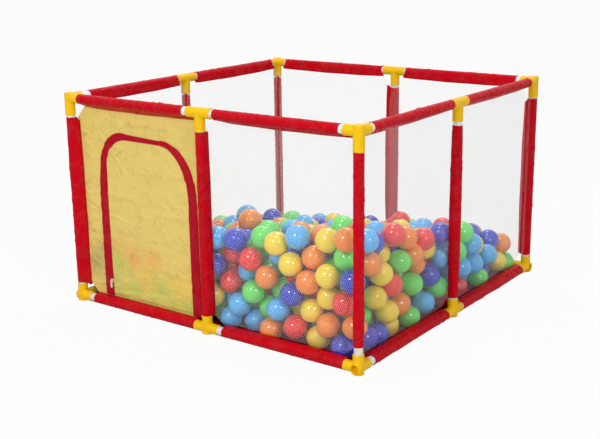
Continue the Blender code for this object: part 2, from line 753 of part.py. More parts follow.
class BallPile:
    """Balls dropped one by one inside four walls, under a slanting top.

    Places are counted in ball radii from the middle of the floor. They are kept by cells as wide
    as a ball, so what a ball rests on lies in its own cell or the eight around it.
    """

    def __init__(self, reach, corner_heights):
        """Take how far a centre may lie from the middle, and the heap's height at its corners."""
        self.reach = reach
        self.corner_heights = corner_heights
        self.chooser = random.Random(HEAP_SEED)
        self.balls = []
        self.cells = {}

    def top(self, across, along):
        """Give the height that the heap may have at a place, between those of its corners."""
        front_left, front_right, back_right, back_left = self.corner_heights
        across_share = (across / (self.reach + 1) + 1) / 2
        along_share = (along / (self.reach + 1) + 1) / 2
        front = front_left + (front_right - front_left) * across_share
        back = back_left + (back_right - back_left) * across_share
        return front + (back - front) * along_share

    def rest(self, across, along):
        """Find how high a ball's centre comes to rest at a place."""
        height = 1
        column, row = across // TOUCHING_SHARE, along // TOUCHING_SHARE
        for cell in ((column + i, row + j) for i in (-1, 0, 1) for j in (-1, 0, 1)):
            for other_across, other_along, other_height in self.cells.get(cell, ()):
                apart = (other_across - across) ** 2 + (other_along - along) ** 2
                drop = TOUCHING_SHARE ** 2 - apart
                if drop > 0:
                    height = max(height, other_height + math.sqrt(drop))
        return height

    def room(self, place):
        """Tell how far the heap's top lies over a ball that rests at a place."""
        return self.top(*place) - 1 - self.rest(*place)

    def roll(self, across, along):
        """Roll a ball from a place to the lowest one that a few random steps find."""
        height = self.rest(across, along)
        step = ROLL_STEP_SHARE
        for _ in range(ROLL_ROUNDS):
            for _ in range(ROLL_TRIES):
                place = [
                    min(max(value + self.chooser.uniform(-step, step), -self.reach), self.reach)
                    for value in (across, along)
                ]
                if self.rest(*place) < height:
                    across, along = place
                    height = self.rest(across, along)
            step /= 2
        return across, along, height

    def drop(self):
        """Find where the next ball goes: the roomiest of a few random places, and rolled."""
        places = [
            (self.chooser.uniform(-self.reach, self.reach),
             self.chooser.uniform(-self.reach, self.reach))
            for _ in range(DROP_TRIES)
        ]
        return self.roll(*max(places, key=self.room))

    def fill(self):
        """Drop balls until hardly any more fits under the top."""
        misses = 0
        while misses < MOST_MISSES:
            ball = self.drop()
            if self.room(ball[:2]) < 0:
                misses += 1
                continue
            self.balls.append(ball)
            cell = (ball[0] // TOUCHING_SHARE, ball[1] // TOUCHING_SHARE)
            self.cells.setdefault(cell, []).append(ball)


def fill_pile():
    """Fill the pit's walls with a heap that leans on the front right corner."""
    half = HALF_SIDE - WALL_INNER - CLEARANCE
    heights = (
        HEAP_HEIGHT_FRONT_LEFT, HEAP_HEIGHT_FRONT_RIGHT,
        HEAP_HEIGHT_BACK_RIGHT, HEAP_HEIGHT_BACK_LEFT,
    )
    pile = BallPile(in_radii(half - BALL_RADIUS), [in_radii(height) for height in heights])
    pile.fill()
    return pile


def keep_largest_shell(bm):
    """Delete every loose shell of a bmesh but the one with the most points."""
    shells = []
    waiting = set(bm.verts)
    while waiting:
        shell = set()
        edge_of_shell = {waiting.pop()}
        while edge_of_shell:
            shell |= edge_of_shell
            linked = {edge.other_vert(v) for v in edge_of_shell for edge in v.link_edges}
            edge_of_shell = linked - shell
        waiting -= shell
        shells.append(shell)
    shells.sort(key=len)
    for shell in shells[:-1]:
        bmesh.ops.delete(bm, geom=list(shell), context="VERTS")


def build_heap(pile, collection):
    """Make the heap one solid: the outer balls stand out of a core as deep as their gaps go."""
    base = MAT_THICKNESS + CLEARANCE
    half = HALF_SIDE - WALL_INNER - CLEARANCE
    core_half = half - HEAP_GAP_DEPTH
    bm = bmesh.new()
    bmesh.ops.create_cube(bm, size=2)
    for corner in bm.verts:
        across, along = corner.co.x * core_half, corner.co.y * core_half
        height = pile.top(across / BALL_RADIUS, along / BALL_RADIUS) * BALL_RADIUS - HEAP_TOP_DEPTH
        corner.co = (across, along, max(height, BALL_RADIUS) if corner.co.z > 0 else 0)
    for ball in pile.balls:
        bmesh.ops.create_icosphere(
            bm, subdivisions=2, radius=BALL_RADIUS + BALL_WELD,
            matrix=Matrix.Translation(Vector(ball) * BALL_RADIUS),
        )
    heap = build_object(bm, "ball_heap", collection)
    skin = heap.modifiers.new("skin", "REMESH")
    skin.mode = "VOXEL"
    skin.voxel_size = HEAP_GRAIN
    heap.data = evaluated_mesh(heap)
    heap.modifiers.clear()
    thin = heap.modifiers.new("thin", "DECIMATE")
    thin.ratio = HEAP_TRIANGLES / (2 * len(heap.data.polygons))
    bm = bmesh.new()
    bm.from_mesh(evaluated_mesh(heap))
    heap.modifiers.clear()
    keep_largest_shell(bm)
    bmesh.ops.triangulate(bm, faces=bm.faces)
    for vert in bm.verts:
        vert.co.x = min(max(vert.co.x, -half), half)
        vert.co.y = min(max(vert.co.y, -half), half)
        vert.co.z = max(vert.co.z, 0) + base
    nearest_ball = KDTree(len(pile.balls))
    for index, ball in enumerate(pile.balls):
        nearest_ball.insert(Vector(ball) * BALL_RADIUS + Vector((0, 0, base)), index)
    nearest_ball.balance()
    for face in bm.faces:
        ball_index = nearest_ball.find(face.calc_center_median())[1]
        face.material_index = ball_index % len(BALL_FINISHES)
    bm.to_mesh(heap.data)
    bm.free()
    for finish in BALL_FINISHES:
        heap.data.materials.append(finish_material(finish))
    return heap


def resting_height(ball, heap_surface, across, along):
    """Lower a ball until it touches the heap, and give its height one clearance above that."""
    places = [vertex.co for vertex in ball.data.vertices]
    faces = [tuple(polygon.vertices) for polygon in ball.data.polygons]

    def touches(height):
        """Tell whether the ball cuts the heap at a height."""
        shift = Vector((across, along, height))
        surface = BVHTree.FromPolygons([place + shift for place in places], faces)
        return bool(surface.overlap(heap_surface))

    high = FRAME_HEIGHT
    while not touches(high - BALL_RADIUS):
        high -= BALL_RADIUS
    low = high - BALL_RADIUS
    while high - low > WELD_DISTANCE:
        middle = (low + high) / 2
        if touches(middle):
            low = middle
        else:
            high = middle
    return high + CLEARANCE


def build_loose_balls(pile, heap, collection):
    """Lay single balls on the heap, each rolled into a hollow and lowered until it rests."""
    heap_surface = BVHTree.FromObject(heap, bpy.context.evaluated_depsgraph_get())
    for index, shares in enumerate(LOOSE_BALL_PLACE_SHARES):
        finish = BALL_FINISHES[index % len(BALL_FINISHES)]
        bm = bmesh.new()
        bmesh.ops.create_uvsphere(
            bm, u_segments=BALL_SEGMENTS, v_segments=BALL_RINGS, radius=BALL_RADIUS
        )
        ball = build_object(bm, f"loose_ball_{index + 1}", collection)
        ball.data.materials.append(finish_material(finish))
        ball.data.shade_smooth()
        rolled = pile.roll(*(share * pile.reach for share in shares))
        across, along = (value * BALL_RADIUS for value in rolled[:2])
        ball.location = (across, along, resting_height(ball, heap_surface, across, along))


def main():
    """Build the ball pit."""
    clear_scene()
    collection = new_collection("ball_pit")
    workshop = new_collection("cutters")
    build_frame(collection, workshop)
    build_covers(collection, workshop)
    build_door(collection, workshop)
    build_zip_pull(collection, workshop)
    build_mat(collection)
    pile = fill_pile()
    heap = build_heap(pile, collection)
    build_loose_balls(pile, heap, collection)


main()
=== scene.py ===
"""Looks of a square ball pit: moulded connectors, sewn sleeves, nets, a zipped door and balls.

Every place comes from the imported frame. Lengths are in metres, +Z is up, the front faces -Y, and
bays run counter-clockwise from the front left corner. A bay's own axes are along it, inwards, up.
"""

import logging
import math
import random
from dataclasses import dataclass, field
from enum import Enum

import bmesh
import bpy
import numpy as np
from mathutils import Matrix, Quaternion, Vector


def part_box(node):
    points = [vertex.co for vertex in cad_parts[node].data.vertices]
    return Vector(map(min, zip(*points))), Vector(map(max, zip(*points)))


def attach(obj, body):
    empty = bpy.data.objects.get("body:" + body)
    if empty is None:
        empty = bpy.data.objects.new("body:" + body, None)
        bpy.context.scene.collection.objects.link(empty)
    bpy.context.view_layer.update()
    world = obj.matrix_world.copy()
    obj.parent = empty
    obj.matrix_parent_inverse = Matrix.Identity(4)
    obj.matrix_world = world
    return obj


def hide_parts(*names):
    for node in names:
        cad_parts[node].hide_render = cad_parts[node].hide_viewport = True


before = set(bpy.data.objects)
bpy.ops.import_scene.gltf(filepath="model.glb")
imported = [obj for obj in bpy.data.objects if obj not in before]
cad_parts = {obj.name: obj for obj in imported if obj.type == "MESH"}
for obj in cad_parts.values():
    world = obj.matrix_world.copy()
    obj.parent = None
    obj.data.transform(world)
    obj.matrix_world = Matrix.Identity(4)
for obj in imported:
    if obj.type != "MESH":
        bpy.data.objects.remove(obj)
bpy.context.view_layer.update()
LOG = logging.getLogger("ball_pit")
QUARTER_TURN = math.pi / 2
Colour = tuple[float, float, float]
Place = tuple[float, float, float]
Range = tuple[float, float]


class Side(Enum):
    """The four sides of the pit, counter-clockwise from above."""

    FRONT = 0
    RIGHT = 1
    BACK = 2
    LEFT = 3

    @property
    def label(self) -> str:
        """Give the side's name as the nodes hold it."""
        return self.name.lower()


class Run(Enum):
    """What a sleeve is drawn over."""

    TOP_RAIL = "top"
    BOTTOM_RAIL = "bottom"
    POST = "post"


CORNER_AFTER = {
    Side.FRONT: "front_left", Side.RIGHT: "front_right",
    Side.BACK: "back_right", Side.LEFT: "back_left",
}


# Node trees


class Graph:
    """A short way to add and link the nodes of one tree."""

    def __init__(self, tree: bpy.types.NodeTree) -> None:
        """Keep the tree that nodes are added to."""
        self.tree = tree

    def put(self, socket: bpy.types.NodeSocket, value: object) -> None:
        """Link another socket to a socket, or set its value.

        Args:
            socket: The socket to feed.
            value: Another socket, or a plain value.
        """
        if isinstance(value, bpy.types.NodeSocket):
            self.tree.links.new(value, socket)
        else:
            socket.default_value = value

    def add(self, kind: str, inputs: dict | None = None, **settings: object) -> bpy.types.Node:
        """Add a node.

        Args:
            kind: The node's type.
            inputs: Values or sockets for its inputs, by name or place.
            settings: Properties of the node.

        Returns:
            The node.
        """
        node = self.tree.nodes.new(kind)
        for key, value in settings.items():
            setattr(node, key, value)
        for key, value in (inputs or {}).items():
            self.put(node.inputs[key], value)
        return node

    def math(self, operation: str, *values: object) -> bpy.types.NodeSocket:
        """Add a Math node and give its result."""
        return self.add("ShaderNodeMath", dict(enumerate(values)), operation=operation).outputs[0]

    def vector_math(self, operation: str, *values: object) -> bpy.types.Node:
        """Add a Vector Math node."""
        return self.add("ShaderNodeVectorMath", dict(enumerate(values)), operation=operation)

    def join_xyz(self, x: object, y: object, z: object) -> bpy.types.NodeSocket:
        """Make a vector of three values."""
        return self.add("ShaderNodeCombineXYZ", {0: x, 1: y, 2: z}).outputs[0]


class GeometryTree(Graph):
    """A Geometry Nodes tree with named inputs, run on a host mesh to give a plain mesh."""

    def __init__(self, name: str, inputs: dict[str, str]) -> None:
        """Make the tree and its sockets.

        Args:
            name: The tree's name.
            inputs: The socket type of each named input, besides Geometry and Material.
        """
        super().__init__(bpy.data.node_groups.new(name, "GeometryNodeTree"))
        self.tree.is_modifier = True
        sockets = {"Geometry": "NodeSocketGeometry", **inputs, "Material": "NodeSocketMaterial"}
        for label, kind in sockets.items():
            self.tree.interface.new_socket(label, in_out="INPUT", socket_type=kind)
        self.tree.interface.new_socket(
            "Geometry", in_out="OUTPUT", socket_type="NodeSocketGeometry"
        )
        self.given = self.add("NodeGroupInput").outputs

    def close(self, geometry: bpy.types.NodeSocket) -> None:
        """End the tree: make instances real, set the material and put the geometry out.

        Args:
            geometry: The socket with the finished geometry.
        """
        real = self.add("GeometryNodeRealizeInstances", {"Geometry": geometry})
        dressed = self.add(
            "GeometryNodeSetMaterial",
            {"Geometry": real.outputs[0], "Material": self.given["Material"]},
        )
        self.add("NodeGroupOutput", {0: dressed.outputs[0]})

    def grow(self, name: str, host: bpy.types.Mesh, values: dict[str, object]) -> bpy.types.Mesh:
        """Run the tree.

        Args:
            name: The name of the mesh it gives.
            host: The mesh that the tree starts from.
            values: A value for each named input.

        Returns:
            The result as a plain mesh, shaded smooth.
        """
        obj = show(name, host)
        step = obj.modifiers.new("grow", "NODES")
        step.node_group = self.tree
        for item in self.tree.interface.items_tree:
            if item.in_out == "INPUT" and item.name in values:
                step[item.identifier] = values[item.name]
        graph = bpy.context.evaluated_depsgraph_get()
        mesh = bpy.data.meshes.new_from_object(obj.evaluated_get(graph))
        obj.modifiers.remove(step)
        bpy.data.objects.remove(obj)
        mesh.name = name
        mesh.shade_smooth()
        return mesh


def shader_group(name: str, inputs: dict[str, str], outputs: dict[str, str]) -> Graph:
    """Start a shader node group with named sockets.

    Args:
        name: The group's name.
        inputs: The socket type of each input.
        outputs: The socket type of each output.

    Returns:
        The group's graph.
    """
    tree = bpy.data.node_groups.new(name, "ShaderNodeTree")
    for label, kind in inputs.items():
        tree.interface.new_socket(label, in_out="INPUT", socket_type=kind)
    for label, kind in outputs.items():
        tree.interface.new_socket(label, in_out="OUTPUT", socket_type=kind)
    return Graph(tree)


class SharedEffects:
    """The shader groups that several finishes use, each built once.

    A run of creases has the angle that it lies at, and how short and how long it is stretched.
    """

    CREASE_RUNS = ((0.75, 0.013, 0.050), (-1.0, 0.016, 0.040))
    PATCH_SCALE = 22.0
    PATCH_EDGE = (0.42, 0.58)

    def __init__(self) -> None:
        """Build the groups."""
        self.grain = self.build_grain()
        self.weave = self.build_weave()
        self.creases = self.build_creases()

    def build_grain(self) -> bpy.types.NodeTree:
        """Build the fine pebble and slow shade of moulded plastic.

        Returns:
            The group's tree.
        """
        graph = shader_group(
            "moulded_grain",
            {"Vector": "NodeSocketVector", "Pebble Scale": "NodeSocketFloat",
             "Shade Scale": "NodeSocketFloat"},
            {"Height": "NodeSocketFloat", "Shade": "NodeSocketFloat"},
        )
        given = graph.add("NodeGroupInput").outputs
        pebble = graph.add(
            "ShaderNodeTexNoise",
            {"Vector": given["Vector"], "Scale": given["Pebble Scale"], "Detail": 3.0},
        )
        shade = graph.add(
            "ShaderNodeTexNoise",
            {"Vector": given["Vector"], "Scale": given["Shade Scale"], "Detail": 2.0},
        )
        graph.add(
            "NodeGroupOutput", {"Height": pebble.outputs["Fac"], "Shade": shade.outputs["Fac"]}
        )
        return graph.tree

    def build_weave(self) -> bpy.types.NodeTree:
        """Build a plain weave: threads along and across the cloth, with slubs and slow fading.

        Returns:
            The group's tree.
        """
        graph = shader_group(
            "plain_weave",
            {"Vector": "NodeSocketVector", "Threads": "NodeSocketFloat",
             "Fade Scale": "NodeSocketFloat"},
            {"Height": "NodeSocketFloat", "Shade": "NodeSocketFloat"},
        )
        given = graph.add("NodeGroupInput").outputs
        parts = graph.add("ShaderNodeSeparateXYZ", {0: given["Vector"]}).outputs
        turn = graph.math("MULTIPLY", given["Threads"], 2 * math.pi)
        warp = graph.math("SINE", graph.math("MULTIPLY", parts[0], turn))
        weft = graph.math("SINE", graph.math("MULTIPLY", parts[1], turn))
        cross = graph.math("MULTIPLY", warp, weft)
        slub = graph.add(
            "ShaderNodeTexNoise",
            {"Vector": given["Vector"], "Scale": given["Fade Scale"], "Detail": 6.0,
             "Roughness": 0.6},
        )
        height = graph.math("MULTIPLY_ADD", cross, 0.5, slub.outputs["Fac"])
        graph.add("NodeGroupOutput", {"Height": height, "Shade": slub.outputs["Fac"]})
        return graph.tree

    def build_creases(self) -> bpy.types.NodeTree:
        """Build thin creases: lines where two noises, stretched aslant, cross their middles.

        Returns:
            The group's tree.
        """
        graph = shader_group(
            "thin_creases",
            {"Vector": "NodeSocketVector", "Width": "NodeSocketFloat"},
            {"Line": "NodeSocketFloat"},
        )
        given = graph.add("NodeGroupInput").outputs
        lines = []
        for turn, short, long in self.CREASE_RUNS:
            laid = graph.add("ShaderNodeMapping", {
                "Vector": given["Vector"], "Rotation": (0.0, 0.0, turn),
                "Scale": (short, long, 1.0),
            }, vector_type="TEXTURE")
            noise = graph.add("ShaderNodeTexNoise", {
                "Vector": laid.outputs[0], "Scale": 1.0, "Detail": 1.0, "Distortion": 0.3,
            })
            away = graph.math("ABSOLUTE", graph.math("SUBTRACT", noise.outputs["Fac"], 0.5))
            line = graph.add("ShaderNodeMapRange", {
                "Value": away, "From Max": given["Width"], "To Min": 1.0, "To Max": 0.0,
            })
            lines.append(line.outputs["Result"])
        patch = graph.add(
            "ShaderNodeTexNoise", {"Vector": given["Vector"], "Scale": self.PATCH_SCALE}
        )
        low, high = self.PATCH_EDGE
        kept = graph.add(
            "ShaderNodeMapRange",
            {"Value": patch.outputs["Fac"], "From Min": low, "From Max": high},
        )
        line = graph.math("MULTIPLY", graph.math("MAXIMUM", *lines), kept.outputs["Result"])
        graph.add("NodeGroupOutput", {"Line": line})
        return graph.tree


# Finishes


NOISE_MIDDLE = (0.3, 0.7)
WHITE = (1, 1, 1, 1)


def new_material(name: str) -> tuple[bpy.types.Material, Graph, bpy.types.Node]:
    """Start a material and give its graph and its Principled shader.

    Args:
        name: The material's name.

    Returns:
        The material, its graph and its shader.
    """
    material = bpy.data.materials.new(name)
    material.use_nodes = True
    graph = Graph(material.node_tree)
    return material, graph, material.node_tree.nodes["Principled BSDF"]


def mix_colour(graph: Graph, factor: object, first: object, second: object
               ) -> bpy.types.NodeSocket:
    """Mix two colours, or sockets that give them, by a factor.

    Args:
        graph: The graph to add to.
        factor: The second colour's share.
        first: The colour at 0.
        second: The colour at 1.

    Returns:
        The mixed colour's socket.
    """
    node = graph.add("ShaderNodeMix", data_type="RGBA")
    graph.put(node.inputs[0], factor)
    graph.put(node.inputs[6], first)
    graph.put(node.inputs[7], second)
    return node.outputs[2]


def blend_colours(graph: Graph, factor: object, first: Colour, second: Colour
                  ) -> bpy.types.NodeSocket:
    """Mix a finish's two plain colours by a factor."""
    return mix_colour(graph, factor, (*first, 1), (*second, 1))


def spread(graph: Graph, value: object, low: float, high: float) -> bpy.types.NodeSocket:
    """Stretch a noise's middle range to a given range.

    Args:
        graph: The graph to add to.
        value: The noise.
        low: What the low end of its middle range becomes.
        high: What the high end becomes.

    Returns:
        The spread value's socket.
    """
    start, end = NOISE_MIDDLE
    node = graph.add(
        "ShaderNodeMapRange",
        {"Value": value, "From Min": start, "From Max": end, "To Min": low, "To Max": high},
    )
    return node.outputs["Result"]


@dataclass(frozen=True)
class PlasticFinish:
    """Moulded plastic: two close colours, a roughness range and a pebble."""

    slot: str
    colour: Colour
    shade: Colour
    roughness: Range
    pebble_scale: float
    pebble_depth: float
    gloss: float = 0.3
    shade_scale: float = 30.0
    pebble_strength: float = 0.5

    def material(self, effects: SharedEffects) -> bpy.types.Material:
        """Build the finish's material.

        Args:
            effects: The shader groups that the finishes share.

        Returns:
            The material.
        """
        material, graph, shader = new_material(self.slot)
        place = graph.add("ShaderNodeTexCoord").outputs["Object"]
        grain = graph.add("ShaderNodeGroup", node_tree=effects.grain)
        graph.put(grain.inputs["Vector"], place)
        grain.inputs["Pebble Scale"].default_value = self.pebble_scale
        grain.inputs["Shade Scale"].default_value = self.shade_scale
        graph.put(
            shader.inputs["Base Color"],
            blend_colours(graph, grain.outputs["Shade"], self.colour, self.shade),
        )
        rough = spread(graph, grain.outputs["Shade"], *self.roughness)
        graph.put(shader.inputs["Roughness"], rough)
        shader.inputs["Specular IOR Level"].default_value = self.gloss
        bump = graph.add("ShaderNodeBump", {
            "Height": grain.outputs["Height"], "Strength": self.pebble_strength,
            "Distance": self.pebble_depth,
        })
        graph.put(shader.inputs["Normal"], bump.outputs[0])
        return material


@dataclass(frozen=True)
class ClothFinish:
    """Woven cloth: two close colours, a gloss, threads per metre, how far it creases, and how far
    its crease lines are painted lighter as a painted highlight.
    """

    slot: str
    colour: Colour
    shade: Colour
    roughness: Range
    threads: float
    depth: float
    gloss: float = 0.2
    # How far the crease lines are mixed towards white: a painted highlight along the creases.
    crease_light: float = 0.0
    crease_depth: float = 0.0
    # Whether the colours of the balls behind are painted into the cloth's colour as a glow.
    painted_glow: bool = False
    by_place: bool = False
    crease_width: float = 0.09
    fade_scale: float = 24.0
    weave_strength: float = 0.6

    def material(self, effects: SharedEffects) -> bpy.types.Material:
        """Build the finish's material, on the piece's own UV map or by the place in the pit.

        Args:
            effects: The shader groups that the finishes share.

        Returns:
            The material.
        """
        material, graph, shader = new_material(self.slot)
        if self.by_place:
            place = graph.add("ShaderNodeTexCoord").outputs["Object"]
        else:
            place = graph.add("ShaderNodeUVMap", uv_map="cloth").outputs["UV"]
        weave = graph.add("ShaderNodeGroup", node_tree=effects.weave)
        graph.put(weave.inputs["Vector"], place)
        weave.inputs["Threads"].default_value = self.threads
        weave.inputs["Fade Scale"].default_value = self.fade_scale
        colour = blend_colours(graph, weave.outputs["Shade"], self.colour, self.shade)
        if self.painted_glow:
            # Painted glow: the colours of the balls behind are mixed into the cloth's colour,
            # standing in for light that comes through the cloth.
            glow = graph.add("ShaderNodeAttribute", attribute_name="glow").outputs
            colour = mix_colour(graph, glow["Alpha"], colour, glow["Color"])
        creases = graph.add("ShaderNodeGroup", node_tree=effects.creases)
        graph.put(creases.inputs["Vector"], place)
        creases.inputs["Width"].default_value = self.crease_width
        line = creases.outputs["Line"]
        # Painted highlight: the crease lines are mixed towards white, standing in for the sheen
        # that light makes along the creases.
        light = graph.math("MULTIPLY", line, self.crease_light)
        graph.put(shader.inputs["Base Color"], mix_colour(graph, light, colour, WHITE))
        rough = spread(graph, weave.outputs["Shade"], *self.roughness)
        graph.put(shader.inputs["Roughness"], rough)
        shader.inputs["Specular IOR Level"].default_value = self.gloss
        bump = graph.add("ShaderNodeBump", {
            "Height": weave.outputs["Height"], "Strength": self.weave_strength,
            "Distance": self.depth,
        })
        crumple = graph.add(
            "ShaderNodeBump",
            {"Height": line, "Strength": 1.0, "Distance": self.crease_depth,
             "Normal": bump.outputs[0]},
        )
        graph.put(shader.inputs["Normal"], crumple.outputs[0])
        return material


@dataclass(frozen=True)
class BallFinish:
    """Glossy blown plastic with a thin seam round each ball.

    Weight is this colour's share of the balls, before all are made to add up to one. The seam
    fades between its two distances from its middle.
    """

    slot: str
    colour: Colour
    shade: Colour
    weight: float
    roughness: Range = (0.08, 0.14)
    pebble_scale: float = 180.0
    shade_scale: float = 14.0
    seam: Range = (0.0003, 0.0009)
    seam_light: float = 0.25
    pebble_share: float = 0.3
    relief_depth: float = 0.0004
    coat: float = 0.5
    coat_roughness: float = 0.06

    def material(self, effects: SharedEffects) -> bpy.types.Material:
        """Build the finish's material, with a seam about the centre that each ball carries.

        Args:
            effects: The shader groups that the finishes share.

        Returns:
            The material.
        """
        material, graph, shader = new_material(self.slot)
        place = graph.add("ShaderNodeTexCoord").outputs["Object"]
        centre = graph.add("ShaderNodeAttribute", attribute_name="ball_centre").outputs["Vector"]
        grain = graph.add("ShaderNodeGroup", node_tree=effects.grain)
        graph.put(grain.inputs["Vector"], place)
        grain.inputs["Pebble Scale"].default_value = self.pebble_scale
        grain.inputs["Shade Scale"].default_value = self.shade_scale
        offset = graph.vector_math("SUBTRACT", place, centre).outputs[0]
        tilt = graph.add("ShaderNodeTexWhiteNoise", {"Vector": centre}).outputs["Color"]
        axis = graph.vector_math("SUBTRACT", tilt, (0.5, 0.5, 0.5)).outputs[0]
        unit = graph.vector_math("NORMALIZE", axis).outputs[0]
        beside = graph.vector_math("DOT_PRODUCT", offset, unit).outputs["Value"]
        start, end = self.seam
        seam = graph.add("ShaderNodeMapRange", {
            "Value": graph.math("ABSOLUTE", beside), "From Min": start, "From Max": end,
            "To Min": 1.0, "To Max": 0.0,
        }).outputs["Result"]
        colour = blend_colours(graph, grain.outputs["Shade"], self.colour, self.shade)
        light = graph.math("MULTIPLY", seam, self.seam_light)
        graph.put(shader.inputs["Base Color"], mix_colour(graph, light, colour, WHITE))
        rough = spread(graph, grain.outputs["Shade"], *self.roughness)
        graph.put(shader.inputs["Roughness"], rough)
        pebble = graph.math("MULTIPLY", grain.outputs["Height"], self.pebble_share)
        bump = graph.add("ShaderNodeBump", {
            "Height": graph.math("ADD", seam, pebble), "Strength": 0.5,
            "Distance": self.relief_depth,
        })
        graph.put(shader.inputs["Normal"], bump.outputs[0])
        shader.inputs["Coat Weight"].default_value = self.coat
        shader.inputs["Coat Roughness"].default_value = self.coat_roughness
        return material


@dataclass(frozen=True)
class MetalFinish:
    """Plated zinc with fine upright scratches."""

    slot: str
    colour: Colour
    scratch_scale: tuple[float, float, float] = (900.0, 900.0, 60.0)
    roughness: Range = (0.2, 0.4)

    def material(self, effects: SharedEffects) -> bpy.types.Material:
        """Build the finish's material.

        Args:
            effects: The shader groups that the finishes share.

        Returns:
            The material.
        """
        material, graph, shader = new_material(self.slot)
        place = graph.add("ShaderNodeTexCoord").outputs["Object"]
        drawn = graph.add("ShaderNodeMapping", {"Vector": place, "Scale": self.scratch_scale})
        grain = graph.add("ShaderNodeGroup", node_tree=effects.grain)
        graph.put(grain.inputs["Vector"], drawn.outputs[0])
        grain.inputs["Pebble Scale"].default_value = 1.0
        shader.inputs["Base Color"].default_value = (*self.colour, 1)
        shader.inputs["Metallic"].default_value = 1.0
        rough = spread(graph, grain.outputs["Height"], *self.roughness)
        graph.put(shader.inputs["Roughness"], rough)
        return material


class Finishes:
    """Every material of the pit, by its slot."""

    ALL = (
        PlasticFinish("connector_plastic", (0.95, 0.59, 0.002), (0.88, 0.50, 0.001), (0.30, 0.42),
                      900.0, 0.00025, 0.22),
        PlasticFinish("tube_plastic", (0.90, 0.88, 0.87), (0.82, 0.80, 0.79), (0.22, 0.32),
                      300.0, 0.00008),
        ClothFinish("red_cloth", (0.62, 0.001, 0.010), (0.50, 0.0005, 0.008), (0.24, 0.36),
                    1600.0, 0.00012, 0.06, 0.010, 0.0018),
        ClothFinish("net_cloth", (0.95, 0.95, 0.96), (0.90, 0.90, 0.92), (0.45, 0.60),
                    1600.0, 0.00005, by_place=True),
        ClothFinish("door_cloth", (0.87, 0.665, 0.19), (0.80, 0.60, 0.155), (0.45, 0.60),
                    1300.0, 0.00018, 0.2, 0.008, 0.0016, painted_glow=True),
        ClothFinish("tape_cloth", (0.52, 0.0005, 0.016), (0.41, 0.0003, 0.012), (0.50, 0.65),
                    1100.0, 0.00020, 0.1, 0.010, 0.0005),
        ClothFinish("mat_cloth", (0.52, 0.008, 0.022), (0.44, 0.006, 0.018), (0.50, 0.65),
                    1300.0, 0.00015),
        MetalFinish("zip_metal", (0.86, 0.85, 0.84)),
        BallFinish("green_ball", (0.15, 0.88, 0.13), (0.12, 0.80, 0.10), 0.24),
        BallFinish("orange_ball", (1.0, 0.29, 0.010), (0.96, 0.25, 0.008), 0.18),
        BallFinish("yellow_ball", (1.0, 0.77, 0.015), (0.98, 0.71, 0.01), 0.15),
        BallFinish("light_blue_ball", (0.09, 0.52, 1.0), (0.07, 0.46, 0.97), 0.18),
        BallFinish("dark_blue_ball", (0.012, 0.05, 0.66), (0.01, 0.035, 0.56), 0.14),
        BallFinish("red_ball", (0.92, 0.018, 0.010), (0.85, 0.012, 0.008), 0.11),
    )

    def __init__(self) -> None:
        """Build each finish's material once."""
        effects = SharedEffects()
        self.by_slot = {finish.slot: finish.material(effects) for finish in self.ALL}

    def __getitem__(self, slot: str) -> bpy.types.Material:
        """Give the material of a slot."""
        return self.by_slot[slot]

    def colour_of(self, slot: str) -> Colour:
        """Give the main colour of a slot."""
        return next(finish.colour for finish in self.ALL if finish.slot == slot)

    @property
    def balls(self) -> list[BallFinish]:
        """List the balls' finishes."""
        return [finish for finish in self.ALL if isinstance(finish, BallFinish)]


# Places that the frame gives


@dataclass(frozen=True)
class Layout:
    """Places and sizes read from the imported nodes."""

    half_side: float
    top_axis: float
    bottom_axis: float
    tube_radius: float
    connector_radius: float
    post_arm_radius: float
    corner_crown: float
    rail_mouth: float
    top_post_mouth: float
    bottom_post_mouth: float
    spare_mouth: float
    wall_outer: float
    wall_inner: float

    @property
    def bay_length(self) -> float:
        """Give the distance between two posts."""
        return self.half_side

    @classmethod
    def from_frame(cls) -> "Layout":
        """Measure the nodes.

        Returns:
            The layout.
        """
        tee_low, tee_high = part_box("top_tee_front")
        _, foot_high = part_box("bottom_tee_front")
        rail_low, rail_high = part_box("bottom_rail_front_1")
        top_low, top_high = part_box("top_rail_front_1")
        flap_low, flap_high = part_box("door_flap")
        corner_low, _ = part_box("bottom_corner_front_left")
        _, crown_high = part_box("top_corner_front_left")
        half_side = -(tee_low.y + tee_high.y) / 2
        top_axis = (top_low.z + top_high.z) / 2
        return cls(
            half_side=half_side,
            top_axis=top_axis,
            bottom_axis=(rail_low.z + rail_high.z) / 2,
            tube_radius=(rail_high.z - rail_low.z) / 2,
            connector_radius=tee_high.z - top_axis,
            post_arm_radius=(tee_high.y - tee_low.y) / 2,
            corner_crown=crown_high.z - tee_high.z,
            rail_mouth=tee_high.x,
            top_post_mouth=tee_low.z,
            bottom_post_mouth=foot_high.z,
            spare_mouth=-corner_low.x - half_side,
            wall_outer=half_side + flap_low.y,
            wall_inner=half_side + flap_high.y,
        )

    def bay(self, side: Side, bay: int) -> Matrix:
        """Give the matrix from a bay's own axes to the pit's.

        Args:
            side: The side of the pit.
            bay: 0 or 1, from the side's left.

        Returns:
            The matrix.
        """
        turn = Matrix.Rotation(side.value * QUARTER_TURN, 4, "Z")
        start = Vector((bay * self.bay_length - self.half_side, -self.half_side, 0))
        return turn @ Matrix.Translation(start)


# Mesh helpers


def show(name: str, data: bpy.types.ID) -> bpy.types.Object:
    """Add an object at the origin that shows a mesh, lamp or camera.

    Args:
        name: The object's name.
        data: The mesh, lamp or camera.

    Returns:
        The object.
    """
    obj = bpy.data.objects.new(name, data)
    bpy.context.scene.collection.objects.link(obj)
    return obj


